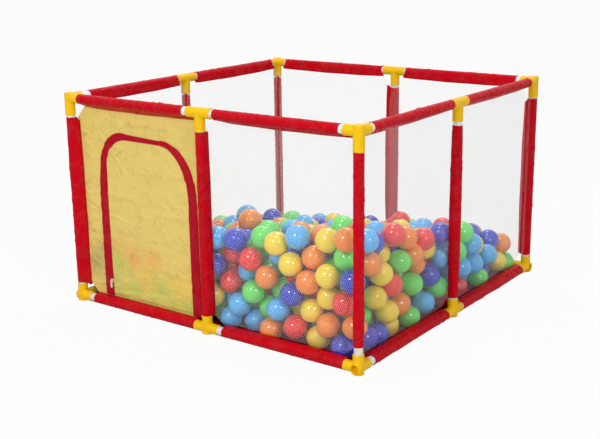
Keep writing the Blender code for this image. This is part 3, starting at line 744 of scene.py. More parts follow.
def dress(obj: bpy.types.Object, slot: str, finishes: Finishes, body: str, *nodes: str) -> None:
    """Give a piece its finish and its body, and hide the nodes that it stands for.

    Args:
        obj: The piece.
        slot: The name of its finish.
        finishes: All finishes by name.
        body: The body that it rides on.
        nodes: The nodes that it stands for.
    """
    obj.data.materials.clear()
    obj.data.materials.append(finishes[slot])
    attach(obj, body)
    if nodes:
        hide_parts(*nodes)
    LOG.info("%s: %d faces, rides on %s", obj.name, len(obj.data.polygons), body)


def grid_mesh(name: str, points: np.ndarray, uv: np.ndarray, outward: Vector,
              closed: bool = False) -> bpy.types.Mesh:
    """Make a sheet from rows of points.

    Args:
        name: The mesh's name.
        points: Places as rows, columns and three coordinates.
        uv: Distances in the flat cloth, as rows, columns and two coordinates.
        outward: The way that the face in the middle of the sheet looks.
        closed: Whether the last column joins the first.

    Returns:
        The mesh, shaded smooth, with its UV map.
    """
    rows, columns = points.shape[:2]
    row, column = np.meshgrid(
        np.arange(rows - 1), np.arange(columns if closed else columns - 1), indexing="ij"
    )
    after = (column + 1) % columns
    faces = np.stack([
        row * columns + column, (row + 1) * columns + column,
        (row + 1) * columns + after, row * columns + after,
    ], axis=-1).reshape(-1, 4)
    flat = points.reshape(-1, 3)
    middle = faces[len(faces) // 2 + (columns // 2 if not closed else 0)]
    corner, first, _, last = (Vector(flat[index]) for index in middle)
    if (first - corner).cross(last - corner).dot(outward) < 0:
        faces = faces[:, ::-1]
    mesh = bpy.data.meshes.new(name)
    mesh.from_pydata(flat.tolist(), [], faces.tolist())
    layer = mesh.uv_layers.new(name="cloth")
    layer.data.foreach_set("uv", uv.reshape(-1, 2)[faces.reshape(-1)].astype(np.float32).ravel())
    mesh.shade_smooth()
    return mesh


def thicken(obj: bpy.types.Object, thickness: float) -> None:
    """Give a sheet its thickness, inwards from its outer face.

    Args:
        obj: The sheet's object.
        thickness: The cloth's thickness.
    """
    step = obj.modifiers.new("cloth", "SOLIDIFY")
    step.thickness = thickness
    step.offset = -1.0
    step.use_even_offset = False


@dataclass(frozen=True)
class Folds:
    """A kind of soft folds, each a short ridge or dip that lies aslant.

    Width and reach are the ranges of a fold's half width and half length. Slope says how far the
    folds lean.
    """

    count: int
    height: float
    width: Range
    reach: Range
    slope: float

    def relief(self, along: np.ndarray, across: np.ndarray, rng: np.random.Generator
               ) -> np.ndarray:
        """Add up the folds.

        Args:
            along: Distances along the cloth.
            across: Distances across it.
            rng: The source of places and sizes.

        Returns:
            The height at each point.
        """
        relief = np.zeros_like(along)
        for _ in range(self.count):
            centre = rng.uniform(along.min(), along.max())
            middle = rng.uniform(across.min(), across.max())
            lean = rng.normal(0, self.slope)
            offset = (along - centre) - lean * (across - middle)
            ridge = np.exp(-(offset / rng.uniform(*self.width)) ** 2)
            ridge *= np.exp(-((across - middle) / rng.uniform(*self.reach)) ** 2)
            relief += self.height * rng.uniform(-1, 1) * ridge
        return relief


# Connectors and tubes


@dataclass
class ConnectorSet:
    """The sixteen moulded connectors."""

    layout: Layout
    finishes: Finishes
    voxel: float = 0.0011
    round_steps: int = 7
    round_share: float = 0.5
    sharp_angle: float = math.radians(50)
    sides: int = 64
    kept_share: float = 0.30
    stop_wall: float = 0.0035
    socket_gap: float = 0.0003
    spare_depth: float = 0.014
    rim_height: float = 0.0006
    rim_width: float = 0.0035
    overrun: float = 0.002

    def round_bar(self, bm: bmesh.types.BMesh, axis: str, radius: float, start: float,
                  end: float) -> None:
        """Add a solid round bar along an axis through the origin.

        Args:
            bm: The mesh to add to.
            axis: X, Y or Z.
            radius: The bar's radius.
            start: Where it starts on the axis.
            end: Where it ends.
        """
        turns = {
            "X": Matrix.Rotation(QUARTER_TURN, 4, "Y"),
            "Y": Matrix.Rotation(-QUARTER_TURN, 4, "X"),
            "Z": Matrix.Identity(4),
        }
        middle = Matrix.Translation((0, 0, (start + end) / 2))
        bmesh.ops.create_cone(
            bm, cap_ends=True, segments=self.sides, radius1=radius, radius2=radius,
            depth=end - start, matrix=turns[axis] @ middle,
        )

    def mould(self, name: str, arms: list[tuple[str, float, float, bool]],
              sockets: list[tuple[str, float, float]]) -> bpy.types.Mesh:
        """Mould one kind of connector.

        Args:
            name: Its name.
            arms: The axis, start and end of each arm, and whether its end has a rim.
            sockets: The axis, start and end of each socket.

        Returns:
            The mesh, about the point where its axes cross.
        """
        radii = {axis: self.layout.connector_radius for axis in "XY"}
        radii["Z"] = self.layout.post_arm_radius
        bm = bmesh.new()
        for axis, start, end, rimmed in arms:
            radius = radii[axis]
            self.round_bar(bm, axis, radius - self.rim_height, start, end)
            if rimmed:
                far = end if abs(end) > abs(start) else start
                near = far - math.copysign(self.rim_width, far)
                self.round_bar(bm, axis, radius, *sorted((near, far)))
        mesh = bpy.data.meshes.new(name)
        bm.to_mesh(mesh)
        bm.free()
        obj = show(name, mesh)
        remesh = obj.modifiers.new("skin", "REMESH")
        remesh.mode = "VOXEL"
        remesh.voxel_size = self.voxel
        soften = obj.modifiers.new("soften", "SMOOTH")
        soften.factor = self.round_share
        soften.iterations = self.round_steps
        thin = obj.modifiers.new("thin", "DECIMATE")
        thin.ratio = self.kept_share
        cutters = []
        for axis, start, end in sockets:
            cutter = bmesh.new()
            self.round_bar(cutter, axis, self.layout.tube_radius + self.socket_gap, start, end)
            cut_mesh = bpy.data.meshes.new("socket")
            cutter.to_mesh(cut_mesh)
            cutter.free()
            cut = show("socket", cut_mesh)
            cutters.append(cut)
            step = obj.modifiers.new("socket", "BOOLEAN")
            step.operation = "DIFFERENCE"
            step.solver = "EXACT"
            step.object = cut
        graph = bpy.context.evaluated_depsgraph_get()
        moulded = bpy.data.meshes.new_from_object(obj.evaluated_get(graph))
        for tool in [obj, *cutters]:
            bpy.data.objects.remove(tool)
        moulded.shade_smooth()
        moulded.set_sharp_from_angle(angle=self.sharp_angle)
        return moulded

    def kinds(self) -> dict[str, bpy.types.Mesh]:
        """Mould the four kinds.

        Returns:
            The meshes by the kinds' names.
        """
        place = self.layout
        rail = place.rail_mouth
        radius = place.connector_radius
        stop = place.tube_radius + self.stop_wall - self.socket_gap
        top = place.top_post_mouth - place.top_axis
        up = place.bottom_post_mouth - place.bottom_axis
        foot = -place.bottom_axis
        spare = place.spare_mouth
        beyond = self.overrun
        right, left = ("X", stop, rail + beyond), ("X", -rail - beyond, -stop)
        inward, down = ("Y", stop, rail + beyond), ("Z", top - beyond, -stop)
        upward = ("Z", stop, up + beyond)
        open_socket = ("X", -spare - beyond, self.spare_depth - spare)
        rail_arms = [("X", 0.0, rail, True), ("X", -rail, 0.0, True)]
        corner_arms = [("X", 0.0, rail, True), ("Y", 0.0, rail, True)]
        return {
            "top_corner": self.mould(
                "top_corner",
                [("Z", top, 0.0, True), ("Z", -radius, radius + place.corner_crown, False),
                 *corner_arms],
                [right, inward, down],
            ),
            "top_tee": self.mould(
                "top_tee", [("Z", top, 0.0, True), *rail_arms], [right, left, down]
            ),
            "bottom_corner": self.mould(
                "bottom_corner",
                [*corner_arms, ("X", -spare, 0.0, True), ("Z", 0.0, up, True),
                 ("Z", foot, 0.0, True)],
                [right, inward, upward, open_socket],
            ),
            "bottom_tee": self.mould(
                "bottom_tee", [*rail_arms, ("Z", 0.0, up, True), ("Z", foot, 0.0, True)],
                [right, left, upward],
            ),
        }

    def build(self) -> None:
        """Place a connector of the right kind at each stand."""
        kinds = self.kinds()
        for side in Side:
            stands = {
                f"corner_{CORNER_AFTER[side]}": ("corner", 0),
                f"tee_{side.label}": ("tee", 1),
            }
            for stand, (kind, bay) in stands.items():
                heights = {"top": self.layout.top_axis, "bottom": self.layout.bottom_axis}
                for level, height in heights.items():
                    mesh = kinds[f"{level}_{kind}"].copy()
                    lift = Matrix.Translation((0, 0, height))
                    mesh.transform(self.layout.bay(side, bay) @ lift)
                    obj = show(f"{level}_{stand}_moulding", mesh)
                    dress(obj, "connector_plastic", self.finishes, "frame", f"{level}_{stand}")


@dataclass
class TubeSet:
    """The white tubes of the rails and posts, with rounded rims."""

    layout: Layout
    finishes: Finishes
    wall: float = 0.0015
    rim: float = 0.0004
    sides: int = 48
    stop_wall: float = 0.0035

    def tube(self, name: str, length: float) -> bpy.types.Mesh:
        """Turn a tube of a length along Z, open at both ends.

        Args:
            name: The mesh's name.
            length: The tube's length.

        Returns:
            The mesh.
        """
        outer, inner = self.layout.tube_radius, self.layout.tube_radius - self.wall
        rim = self.rim
        profile = [
            (inner, length / 2), (inner, rim), (inner + rim, 0), (outer - rim, 0), (outer, rim),
            (outer, length / 2), (outer, length - rim), (outer - rim, length),
            (inner + rim, length), (inner, length - rim),
        ]
        angles = np.linspace(0, 2 * math.pi, self.sides, endpoint=False)
        rings = np.array([
            [(r * math.cos(a), r * math.sin(a), z) for r, z in [*profile, profile[0]]]
            for a in [*angles, angles[0]]
        ])
        uv = rings[:, :, :2]
        mesh = grid_mesh(name, rings, uv, Vector((0, 0, 0)))
        bm = bmesh.new()
        bm.from_mesh(mesh)
        bmesh.ops.remove_doubles(bm, verts=bm.verts, dist=self.rim / 10)
        bmesh.ops.recalc_face_normals(bm, faces=bm.faces)
        bm.to_mesh(mesh)
        bm.free()
        mesh.shade_smooth()
        return mesh

    def build(self) -> None:
        """Stand the posts and lay the rails."""
        place = self.layout
        stop = place.tube_radius + self.stop_wall
        lay = Matrix.Rotation(QUARTER_TURN, 4, "Y")
        rail = self.tube("rail", place.bay_length - 2 * stop)
        post = self.tube("post", place.top_axis - place.bottom_axis - 2 * stop)
        for side in Side:
            for bay in range(2):
                stand = f"tee_{side.label}" if bay else f"corner_{CORNER_AFTER[side]}"
                runs = {
                    f"top_rail_{side.label}_{bay + 1}": (
                        rail, Matrix.Translation((stop, 0, place.top_axis)) @ lay),
                    f"bottom_rail_{side.label}_{bay + 1}": (
                        rail, Matrix.Translation((stop, 0, place.bottom_axis)) @ lay),
                    f"post_{stand}": (
                        post, Matrix.Translation((0, 0, place.bottom_axis + stop))),
                }
                for node, (source, move) in runs.items():
                    mesh = source.copy()
                    mesh.transform(place.bay(side, bay) @ move)
                    dress(show(f"{node}_tube", mesh), "tube_plastic", self.finishes, "frame", node)


# Sewn covers


@dataclass(frozen=True)
class Ends:
    """How a sleeve stops short of its two connectors, and how its tail runs from end to end.

    A lead above zero takes the tail further than the rest, below the connector's arm; a lead
    below zero cuts it back. The tail's shares are of its full reach, at the start and the end,
    and belly is what its middle hangs lower. Bag is how much wider the sleeve is at its middle.
    """

    start: float = 0.006
    end: float = 0.006
    start_lead: float = 0.008
    end_lead: float = 0.008
    start_share: float = 0.60
    end_share: float = 0.60
    belly_share: float = 0.45
    bag: float = 0.0


ENDS = {
    (Run.TOP_RAIL, Side.FRONT, 0): Ends(0.001, 0.014, -0.014, 0.034, 0.75, 0.80, 0.30),
    (Run.TOP_RAIL, Side.FRONT, 1): Ends(0.012, 0.012, -0.016, 0.034, 0.75, 0.85, 0.45),
    (Run.TOP_RAIL, Side.RIGHT, 0): Ends(0.012, 0.001, 0.030, 0.004, 0.80, 0.60, 0.30),
    (Run.TOP_RAIL, Side.RIGHT, 1): Ends(0.001, 0.001, 0.004, -0.008),
    (Run.TOP_RAIL, Side.BACK, 0): Ends(0.014, 0.006, 0.006, 0.006),
    (Run.TOP_RAIL, Side.LEFT, 1): Ends(0.006, 0.032, 0.006, 0.006),
    (Run.BOTTOM_RAIL, Side.FRONT, 0): Ends(0.020, 0.001, 0.002, 0.002),
    (Run.BOTTOM_RAIL, Side.FRONT, 1): Ends(0.020, 0.001, 0.002, 0.002),
    (Run.BOTTOM_RAIL, Side.RIGHT, 0): Ends(0.020, 0.003, 0.002, 0.002),
    (Run.POST, Side.FRONT, 0): Ends(0.006, 0.006, 0.010, -0.008, 0.70, 0.55, 0.15),
    (Run.POST, Side.FRONT, 1): Ends(0.001, 0.001, 0.0, 0.0, 0.40, 0.15, 0.05),
    (Run.POST, Side.RIGHT, 0): Ends(0.022, 0.001, -0.004, -0.004, 0.50, 0.30, 0.30),
    (Run.POST, Side.RIGHT, 1): Ends(0.006, 0.012, -0.004, -0.004, 0.60, 0.50, 0.50, 0.0035),
    (Run.POST, Side.BACK, 0): Ends(0.006, 0.003, -0.004, -0.010, 0.50, 0.50, 0.30),
}


@dataclass
class Sleeve:
    """One sewn sleeve over a tube, with a tail that ends in the seam of the wall."""

    layout: Layout
    run: Run
    ends: Ends
    tail: float
    seed: int
    cloth: float = 0.0007
    slack: float = 0.0010
    least_slack: float = 0.0003
    creases: Folds = Folds(90, 0.0016, (0.0020, 0.0050), (0.010, 0.030), 1.1)
    bags: Folds = Folds(8, 0.0010, (0.02, 0.06), (0.02, 0.05), 0.3)
    gather_height: float = 0.0006
    gather_reach: float = 0.012
    gather_count: int = 9
    lead_reach: float = 0.030
    fullness: float = 0.6
    least_tail: float = 0.05
    least_reach: float = 0.002
    wave_share: float = 0.04
    wave_turn: float = 17
    phases: Range = (0.0, 6.0)
    stations: int = 160
    arc_points: int = 26
    tail_points: int = 4
    lap: float = 0.0014
    flat: Range = (0.0, 0.0)

    def span(self) -> Range:
        """Give the sleeve's start and end along its tube.

        Returns:
            The start and the end.
        """
        place = self.layout
        if self.run is Run.POST:
            return (place.bottom_post_mouth + self.ends.start,
                    place.top_post_mouth - self.ends.end)
        return (place.rail_mouth + self.ends.start,
                place.bay_length - place.rail_mouth - self.ends.end)

    def place(self, along: np.ndarray, side: np.ndarray, reach: np.ndarray) -> np.ndarray:
        """Turn stations and section points into places in the bay.

        Args:
            along: Distances along the tube.
            side: Distances inwards from the tube's axis.
            reach: Distances from the tube's axis towards the bay's middle.

        Returns:
            The places.
        """
        if self.run is Run.TOP_RAIL:
            return np.stack([along, side, self.layout.top_axis - reach], axis=-1)
        if self.run is Run.BOTTOM_RAIL:
            return np.stack([along, side, self.layout.bottom_axis + reach], axis=-1)
        return np.stack([reach, side, along], axis=-1)

    def section(self, radius: np.ndarray, reach: np.ndarray) -> tuple[np.ndarray, np.ndarray]:
        """Draw the sections: from the seam round the tube and back to the seam.

        Args:
            radius: The cloth's radius at each station.
            reach: How far the seam stands from the tube's axis at each station.

        Returns:
            The points and their outward directions, by station, point and coordinate.
        """
        tips, turns = [], []
        for sign, edge in ((1, self.layout.wall_outer - self.lap), (-1, self.layout.wall_inner)):
            far = np.hypot(edge, reach)
            turn = np.arctan2(reach, edge) + sign * np.arccos(np.clip(radius / far, -1, 1))
            tips.append(np.stack([np.full_like(reach, edge), reach], axis=-1))
            turns.append(turn)
        first, last = turns[0], turns[1] + 2 * math.pi
        share = np.linspace(0, 1, self.arc_points)
        angles = first[:, None] + (last - first)[:, None] * share
        normal = np.stack([np.cos(angles), np.sin(angles)], axis=-1)
        arc = normal * radius[:, None, None]
        step = np.linspace(0, 1, self.tail_points, endpoint=False)[None, :, None]
        near = tips[0][:, None] * (1 - step) + arc[:, :1] * step
        far = tips[1][:, None] * (1 - step) + arc[:, -1:] * step
        points = np.concatenate([near, arc, far[:, ::-1]], axis=1)
        outward = np.concatenate([
            np.repeat(normal[:, :1], self.tail_points, axis=1), normal,
            np.repeat(normal[:, -1:], self.tail_points, axis=1),
        ], axis=1)
        return points, outward

    def relief(self, along: np.ndarray, around: np.ndarray,
               rng: np.random.Generator) -> np.ndarray:
        """Work out how far the cloth stands off at each point: folds, and gathers at its ends.

        Args:
            along: Distances along the tube.
            around: Distances round the section.
            rng: The source of places and sizes.

        Returns:
            The height at each point.
        """
        relief = self.creases.relief(along, around, rng)
        relief += self.bags.relief(along, around, rng)
        inwards = np.minimum(along - along.min(), along.max() - along) / self.gather_reach
        turns = 2 * math.pi * around / around.max() * self.gather_count
        ripples = np.cos(turns + rng.uniform(*self.phases))
        return relief + self.gather_height * ripples * np.exp(-inwards)

    def mesh(self, name: str) -> bpy.types.Mesh:
        """Make the sleeve's sheet in the bay's own axes.

        Args:
            name: The mesh's name.

        Returns:
            The mesh.
        """
        rng = np.random.default_rng(self.seed)
        start, end = self.span()
        share = np.linspace(0, 1, self.stations)
        ends = self.ends
        middle_share = np.sin(share * math.pi) ** self.fullness
        radius = self.layout.tube_radius + self.slack + ends.bag * middle_share
        tail_share = ends.start_share + (ends.end_share - ends.start_share) * share
        tail_share += ends.belly_share * middle_share
        phase = rng.uniform(*self.phases)
        tail_share += self.wave_share * np.sin(share * self.wave_turn + phase)
        reach = radius + self.tail * tail_share.clip(self.least_tail)
        points, outward = self.section(radius, reach)
        steps = np.linalg.norm(np.diff(points, axis=1), axis=-1)
        around = np.concatenate([np.zeros((self.stations, 1)), np.cumsum(steps, axis=1)], axis=1)
        count = points.shape[1]
        along = np.repeat((start + (end - start) * share)[:, None], count, axis=1)
        relief = self.relief(along, around, rng)
        from_seam = np.minimum(np.arange(count), np.arange(count)[::-1])
        relief *= np.clip(from_seam / self.tail_points, 0, 1)[None, :]
        floor = self.layout.tube_radius + self.cloth - np.linalg.norm(points, axis=-1)
        relief = np.maximum(relief, floor + self.least_slack)
        points = points + outward * relief[..., None]
        away = np.linalg.norm(points, axis=-1) - self.layout.connector_radius
        furthest = (reach[:, None] - self.layout.connector_radius).clip(self.least_reach)
        lead = np.clip(away / furthest, 0, 1)
        from_start = share * (end - start) / self.lead_reach
        from_end = (1 - share) * (end - start) / self.lead_reach
        along = along - ends.start_lead * lead * np.exp(-from_start ** 2)[:, None]
        along = along + ends.end_lead * lead * np.exp(-from_end ** 2)[:, None]
        uv = np.stack([along + self.seed, around], axis=-1)
        middle = self.stations // 2
        self.flat = (float(around[middle, -1]), float(end - start))
        rows = self.place(along, points[..., 0], points[..., 1])
        half = count // 2
        direction = self.place(
            np.zeros(1), outward[middle, half:half + 1, 0], outward[middle, half:half + 1, 1]
        )[0] - self.place(np.zeros(1), np.zeros(1), np.zeros(1))[0]
        return grid_mesh(name, rows, uv, Vector(direction))


@dataclass
class NetWeaver:
    """Knots the net of a bay: hexagonal cells of thin strands, held in a seam all round."""

    cell_width: float = 0.0057
    upright: float = 0.0030
    slant_height: float = 0.0038
    strand: float = 0.00019
    ripple: float = 0.0012
    ripple_scale: float = 6.0

    def __post_init__(self) -> None:
        """Build the tree that lays a strand and its two branches at each knot."""
        floats = ("Width", "Height", "Corner Along", "Corner Up", "Cell Width", "Upright",
                  "Slant Height", "Strand", "Ripple", "Seed")
        tree = GeometryTree("knotted_net", {label: "NodeSocketFloat" for label in floats})
        given = tree.given
        pitch = tree.math("ADD", given["Upright"], given["Slant Height"])
        columns = tree.math("CEIL", tree.math("DIVIDE", given["Width"], given["Cell Width"]))
        rows = tree.math("CEIL", tree.math("DIVIDE", given["Height"], pitch))
        grid = tree.add("GeometryNodeMeshGrid", {
            "Size X": tree.math("MULTIPLY", columns, given["Cell Width"]),
            "Size Y": tree.math("MULTIPLY", rows, pitch),
            "Vertices X": tree.math("ADD", columns, 1.0),
            "Vertices Y": tree.math("ADD", rows, 1.0),
        })
        place = tree.add("GeometryNodeInputPosition").outputs[0]
        spot = tree.add("ShaderNodeSeparateXYZ", {0: place})
        lowest = tree.math("MULTIPLY", tree.math("MULTIPLY", rows, pitch), 0.5)
        row = tree.math("ROUND", tree.math(
            "DIVIDE", tree.math("ADD", spot.outputs[1], lowest), pitch))
        odd = tree.math("FLOORED_MODULO", row, 2.0)
        shift = tree.math("MULTIPLY", odd, tree.math("MULTIPLY", given["Cell Width"], 0.5))
        across = tree.math("ADD", spot.outputs[0], shift)
        wave = tree.add("ShaderNodeTexNoise", {
            "Vector": tree.join_xyz(across, spot.outputs[1], given["Seed"]),
            "Scale": self.ripple_scale, "Detail": 1.0,
        })
        swing = tree.math("SUBTRACT", wave.outputs["Fac"], 0.5)
        depth = tree.math("MULTIPLY", swing, given["Ripple"])
        stood = tree.add("GeometryNodeSetPosition", {
            "Geometry": grid.outputs["Mesh"],
            "Position": tree.join_xyz(across, depth, spot.outputs[1]),
        })
        moved = tree.add("GeometryNodeInputPosition").outputs[0]
        here = tree.add("ShaderNodeSeparateXYZ", {0: moved})
        past_side = self.past_corner(tree, here.outputs[0], given["Width"], given["Corner Along"])
        past_top = self.past_corner(tree, here.outputs[2], given["Height"], given["Corner Up"])
        inside = tree.add(
            "FunctionNodeCompare", {0: tree.math("ADD", past_side, past_top), 1: 1.0},
            data_type="FLOAT", operation="LESS_THAN",
        )
        from_middle = tree.math("ABSOLUTE", here.outputs[0])
        half_width = tree.math("MULTIPLY", given["Width"], 0.5)
        in_width = tree.add(
            "FunctionNodeCompare", {0: from_middle, 1: half_width},
            data_type="FLOAT", operation="LESS_THAN",
        )
        both = tree.add(
            "FunctionNodeBooleanMath", {0: inside.outputs[0], 1: in_width.outputs[0]},
            operation="AND",
        )
        knot = self.knot(tree)
        placed = tree.add("GeometryNodeInstanceOnPoints", {
            "Points": stood.outputs[0], "Selection": both.outputs[0], "Instance": knot,
        })
        tree.close(placed.outputs[0])
        self.tree = tree

    @staticmethod
    def past_corner(tree: GeometryTree, value: bpy.types.NodeSocket, size: bpy.types.NodeSocket,
                    corner: bpy.types.NodeSocket) -> bpy.types.NodeSocket:
        """Tell how far a coordinate lies past where a cut corner starts, as a share of the cut.

        Args:
            tree: The tree to add to.
            value: The coordinate.
            size: The net's size along it.
            corner: The cut's size along it.

        Returns:
            The share's socket, 0 before the cut.
        """
        start = tree.math("SUBTRACT", tree.math("MULTIPLY", size, 0.5), corner)
        past = tree.math("SUBTRACT", tree.math("ABSOLUTE", value), start)
        return tree.math("MAXIMUM", tree.math("DIVIDE", past, corner), 0.0)

    def knot(self, tree: GeometryTree) -> bpy.types.NodeSocket:
        """Make one knot: a strand upright, and two that branch from its top.

        Args:
            tree: The tree to add to.

        Returns:
            The socket with the knot's geometry.
        """
        given = tree.given
        half = tree.math("MULTIPLY", given["Cell Width"], 0.5)
        slant = tree.math("SQRT", tree.math(
            "ADD", tree.math("MULTIPLY", half, half),
            tree.math("MULTIPLY", given["Slant Height"], given["Slant Height"])))
        lean = tree.math("ARCTAN2", half, given["Slant Height"])
        middle = tree.math("MULTIPLY_ADD", given["Slant Height"], 0.5, given["Upright"])
        quarter = tree.math("MULTIPLY", given["Cell Width"], 0.25)
        join = tree.add("GeometryNodeJoinGeometry")
        strands = [(0.0, tree.math("MULTIPLY", given["Upright"], 0.5), 0.0, given["Upright"])]
        for sign in (-1.0, 1.0):
            strands.append((
                tree.math("MULTIPLY", quarter, sign), middle,
                tree.math("MULTIPLY", lean, sign), slant,
            ))
        for across, height, turn, length in reversed(strands):
            bar = tree.add("GeometryNodeMeshCylinder", {
                "Vertices": 3, "Radius": given["Strand"], "Depth": length,
            }, fill_type="NONE")
            moved = tree.add("GeometryNodeTransform", {
                "Geometry": bar.outputs["Mesh"],
                "Translation": tree.join_xyz(across, 0.0, height),
                "Rotation": tree.join_xyz(0.0, turn, 0.0),
            })
            tree.put(join.inputs[0], moved.outputs[0])
        return join.outputs[0]

    def weave(self, name: str, low: Vector, high: Vector, corner: Range, depth: float, seed: int,
              material: bpy.types.Material) -> bpy.types.Mesh:
        """Weave one panel.

        Args:
            name: The mesh's name.
            low: The panel's lowest corner, along the bay and up.
            high: Its highest corner.
            corner: How far its corners are cut back, along and up.
            depth: Where the panel's plane lies, inwards.
            seed: What the ripple starts from.
            material: The net's material.

        Returns:
            The mesh in the bay's own axes.
        """
        host = bpy.data.meshes.new(name)
        mesh = self.tree.grow(name, host, {
            "Width": high.x - low.x, "Height": high.y - low.y, "Corner Along": corner[0],
            "Corner Up": corner[1], "Cell Width": self.cell_width, "Upright": self.upright,
            "Slant Height": self.slant_height, "Strand": self.strand, "Ripple": self.ripple,
            "Seed": float(seed), "Material": material,
        })
        middle = (low + high) / 2
        mesh.transform(Matrix.Translation((middle.x, depth, middle.y)))
        return mesh


@dataclass
class CoverSet:
    """The sewn covers of the eight bays: sleeves on three tubes and a wall of net or cloth."""

    layout: Layout
    finishes: Finishes
    top_tail: float = 0.009
    door_top_tail: float = 0.013
    bottom_tail: float = 0.003
    post_tail: float = 0.013
    door_post_tail: float = 0.018
    net_share: float = 0.30
    net_margin: float = 0.001
    net_corner: Range = (0.036, 0.028)

    def sleeve_tail(self, run: Run, is_door: bool) -> float:
        """Give a sleeve's tail.

        Args:
            run: The kind of tube.
            is_door: Whether it is the door's bay.

        Returns:
            The tail's full length.
        """
        tails = {
            Run.TOP_RAIL: self.door_top_tail if is_door else self.top_tail,
            Run.BOTTOM_RAIL: self.bottom_tail,
            Run.POST: self.door_post_tail if is_door else self.post_tail,
        }
        return tails[run]

    def build_sleeves(self, side: Side, bay: int, node: str, is_door: bool) -> None:
        """Sew the three sleeves of one bay.

        Args:
            side: The side of the pit.
            bay: 0 or 1, from the side's left.
            node: The cover's node.
            is_door: Whether it is the door's bay.
        """
        for index, run in enumerate(Run):
            ends = ENDS.get((run, side, bay), Ends())
            seed = 100 * side.value + 10 * bay + index
            sleeve = Sleeve(self.layout, run, ends, self.sleeve_tail(run, is_door), seed)
            name = f"{run.value}_sleeve_{side.label}_{bay + 1}"
            mesh = sleeve.mesh(name)
            mesh.transform(self.layout.bay(side, bay))
            obj = show(name, mesh)
            thicken(obj, sleeve.cloth)
            dress(obj, "red_cloth", self.finishes, "frame", node)

    def build_nets(self) -> None:
        """Weave the seven nets, each held in the seams of its bay's sleeves."""
        weaver = NetWeaver()
        place = self.layout
        depth = (place.wall_outer + place.wall_inner) / 2
        for side in Side:
            for bay in range(2):
                if side is Side.FRONT and bay == 0:
                    continue
                end = place.bay_length - (place.wall_inner if bay == 1 else 0)
                foot = place.bottom_axis + place.tube_radius + self.bottom_tail
                head = place.top_axis - place.tube_radius - self.top_tail
                low, high = Vector((self.net_margin, foot)), Vector((end - self.net_margin, head))
                name = f"net_{side.label}_{bay + 1}"
                seed = 10 * side.value + bay
                mesh = weaver.weave(name, low, high, self.net_corner, depth, seed,
                                    self.finishes["net_cloth"])
                mesh.transform(place.bay(side, bay))
                obj = show(name, mesh)
                cover = f"net_cover_{side.label}_{bay + 1}"
                dress(obj, "net_cloth", self.finishes, "frame", cover)

    def build(self) -> None:
        """Hang every cover."""
        for side in Side:
            for bay in range(2):
                is_door = side is Side.FRONT and bay == 0
                node = "door_cover" if is_door else f"net_cover_{side.label}_{bay + 1}"
                self.build_sleeves(side, bay, node, is_door)
        self.build_nets()


# Door


@dataclass(frozen=True)
class Crease:
    """One crease of the door's cloth.

    It has its middle along the bay and up, how it leans, its half width and half length, and its
    rise as a share of the greatest height.
    """

    centre: float
    level: float
    lean: float
    width: float
    reach: float
    rise: float

    def ridge(self, along: np.ndarray, up: np.ndarray) -> np.ndarray:
        """Give the crease's form at points of the wall: 1 on its middle, less beside it."""
        offset = (up - self.level) - self.lean * (along - self.centre)
        return (np.exp(-(offset / self.width) ** 2)
                * np.exp(-((along - self.centre) / self.reach) ** 2))


@dataclass(frozen=True)
class CreaseKind:
    """A kind of creases: how many there are, and the ranges of their widths, reaches and rises."""

    count: int
    width: Range
    reach: Range
    rise: Range = (-1.0, 1.0)

    def lay(self, centre: float, level: float, lean: float, rng: np.random.Generator) -> Crease:
        """Lay one crease of this kind at a place."""
        return Crease(centre, level, lean, rng.uniform(*self.width), rng.uniform(*self.reach),
                      rng.uniform(*self.rise))


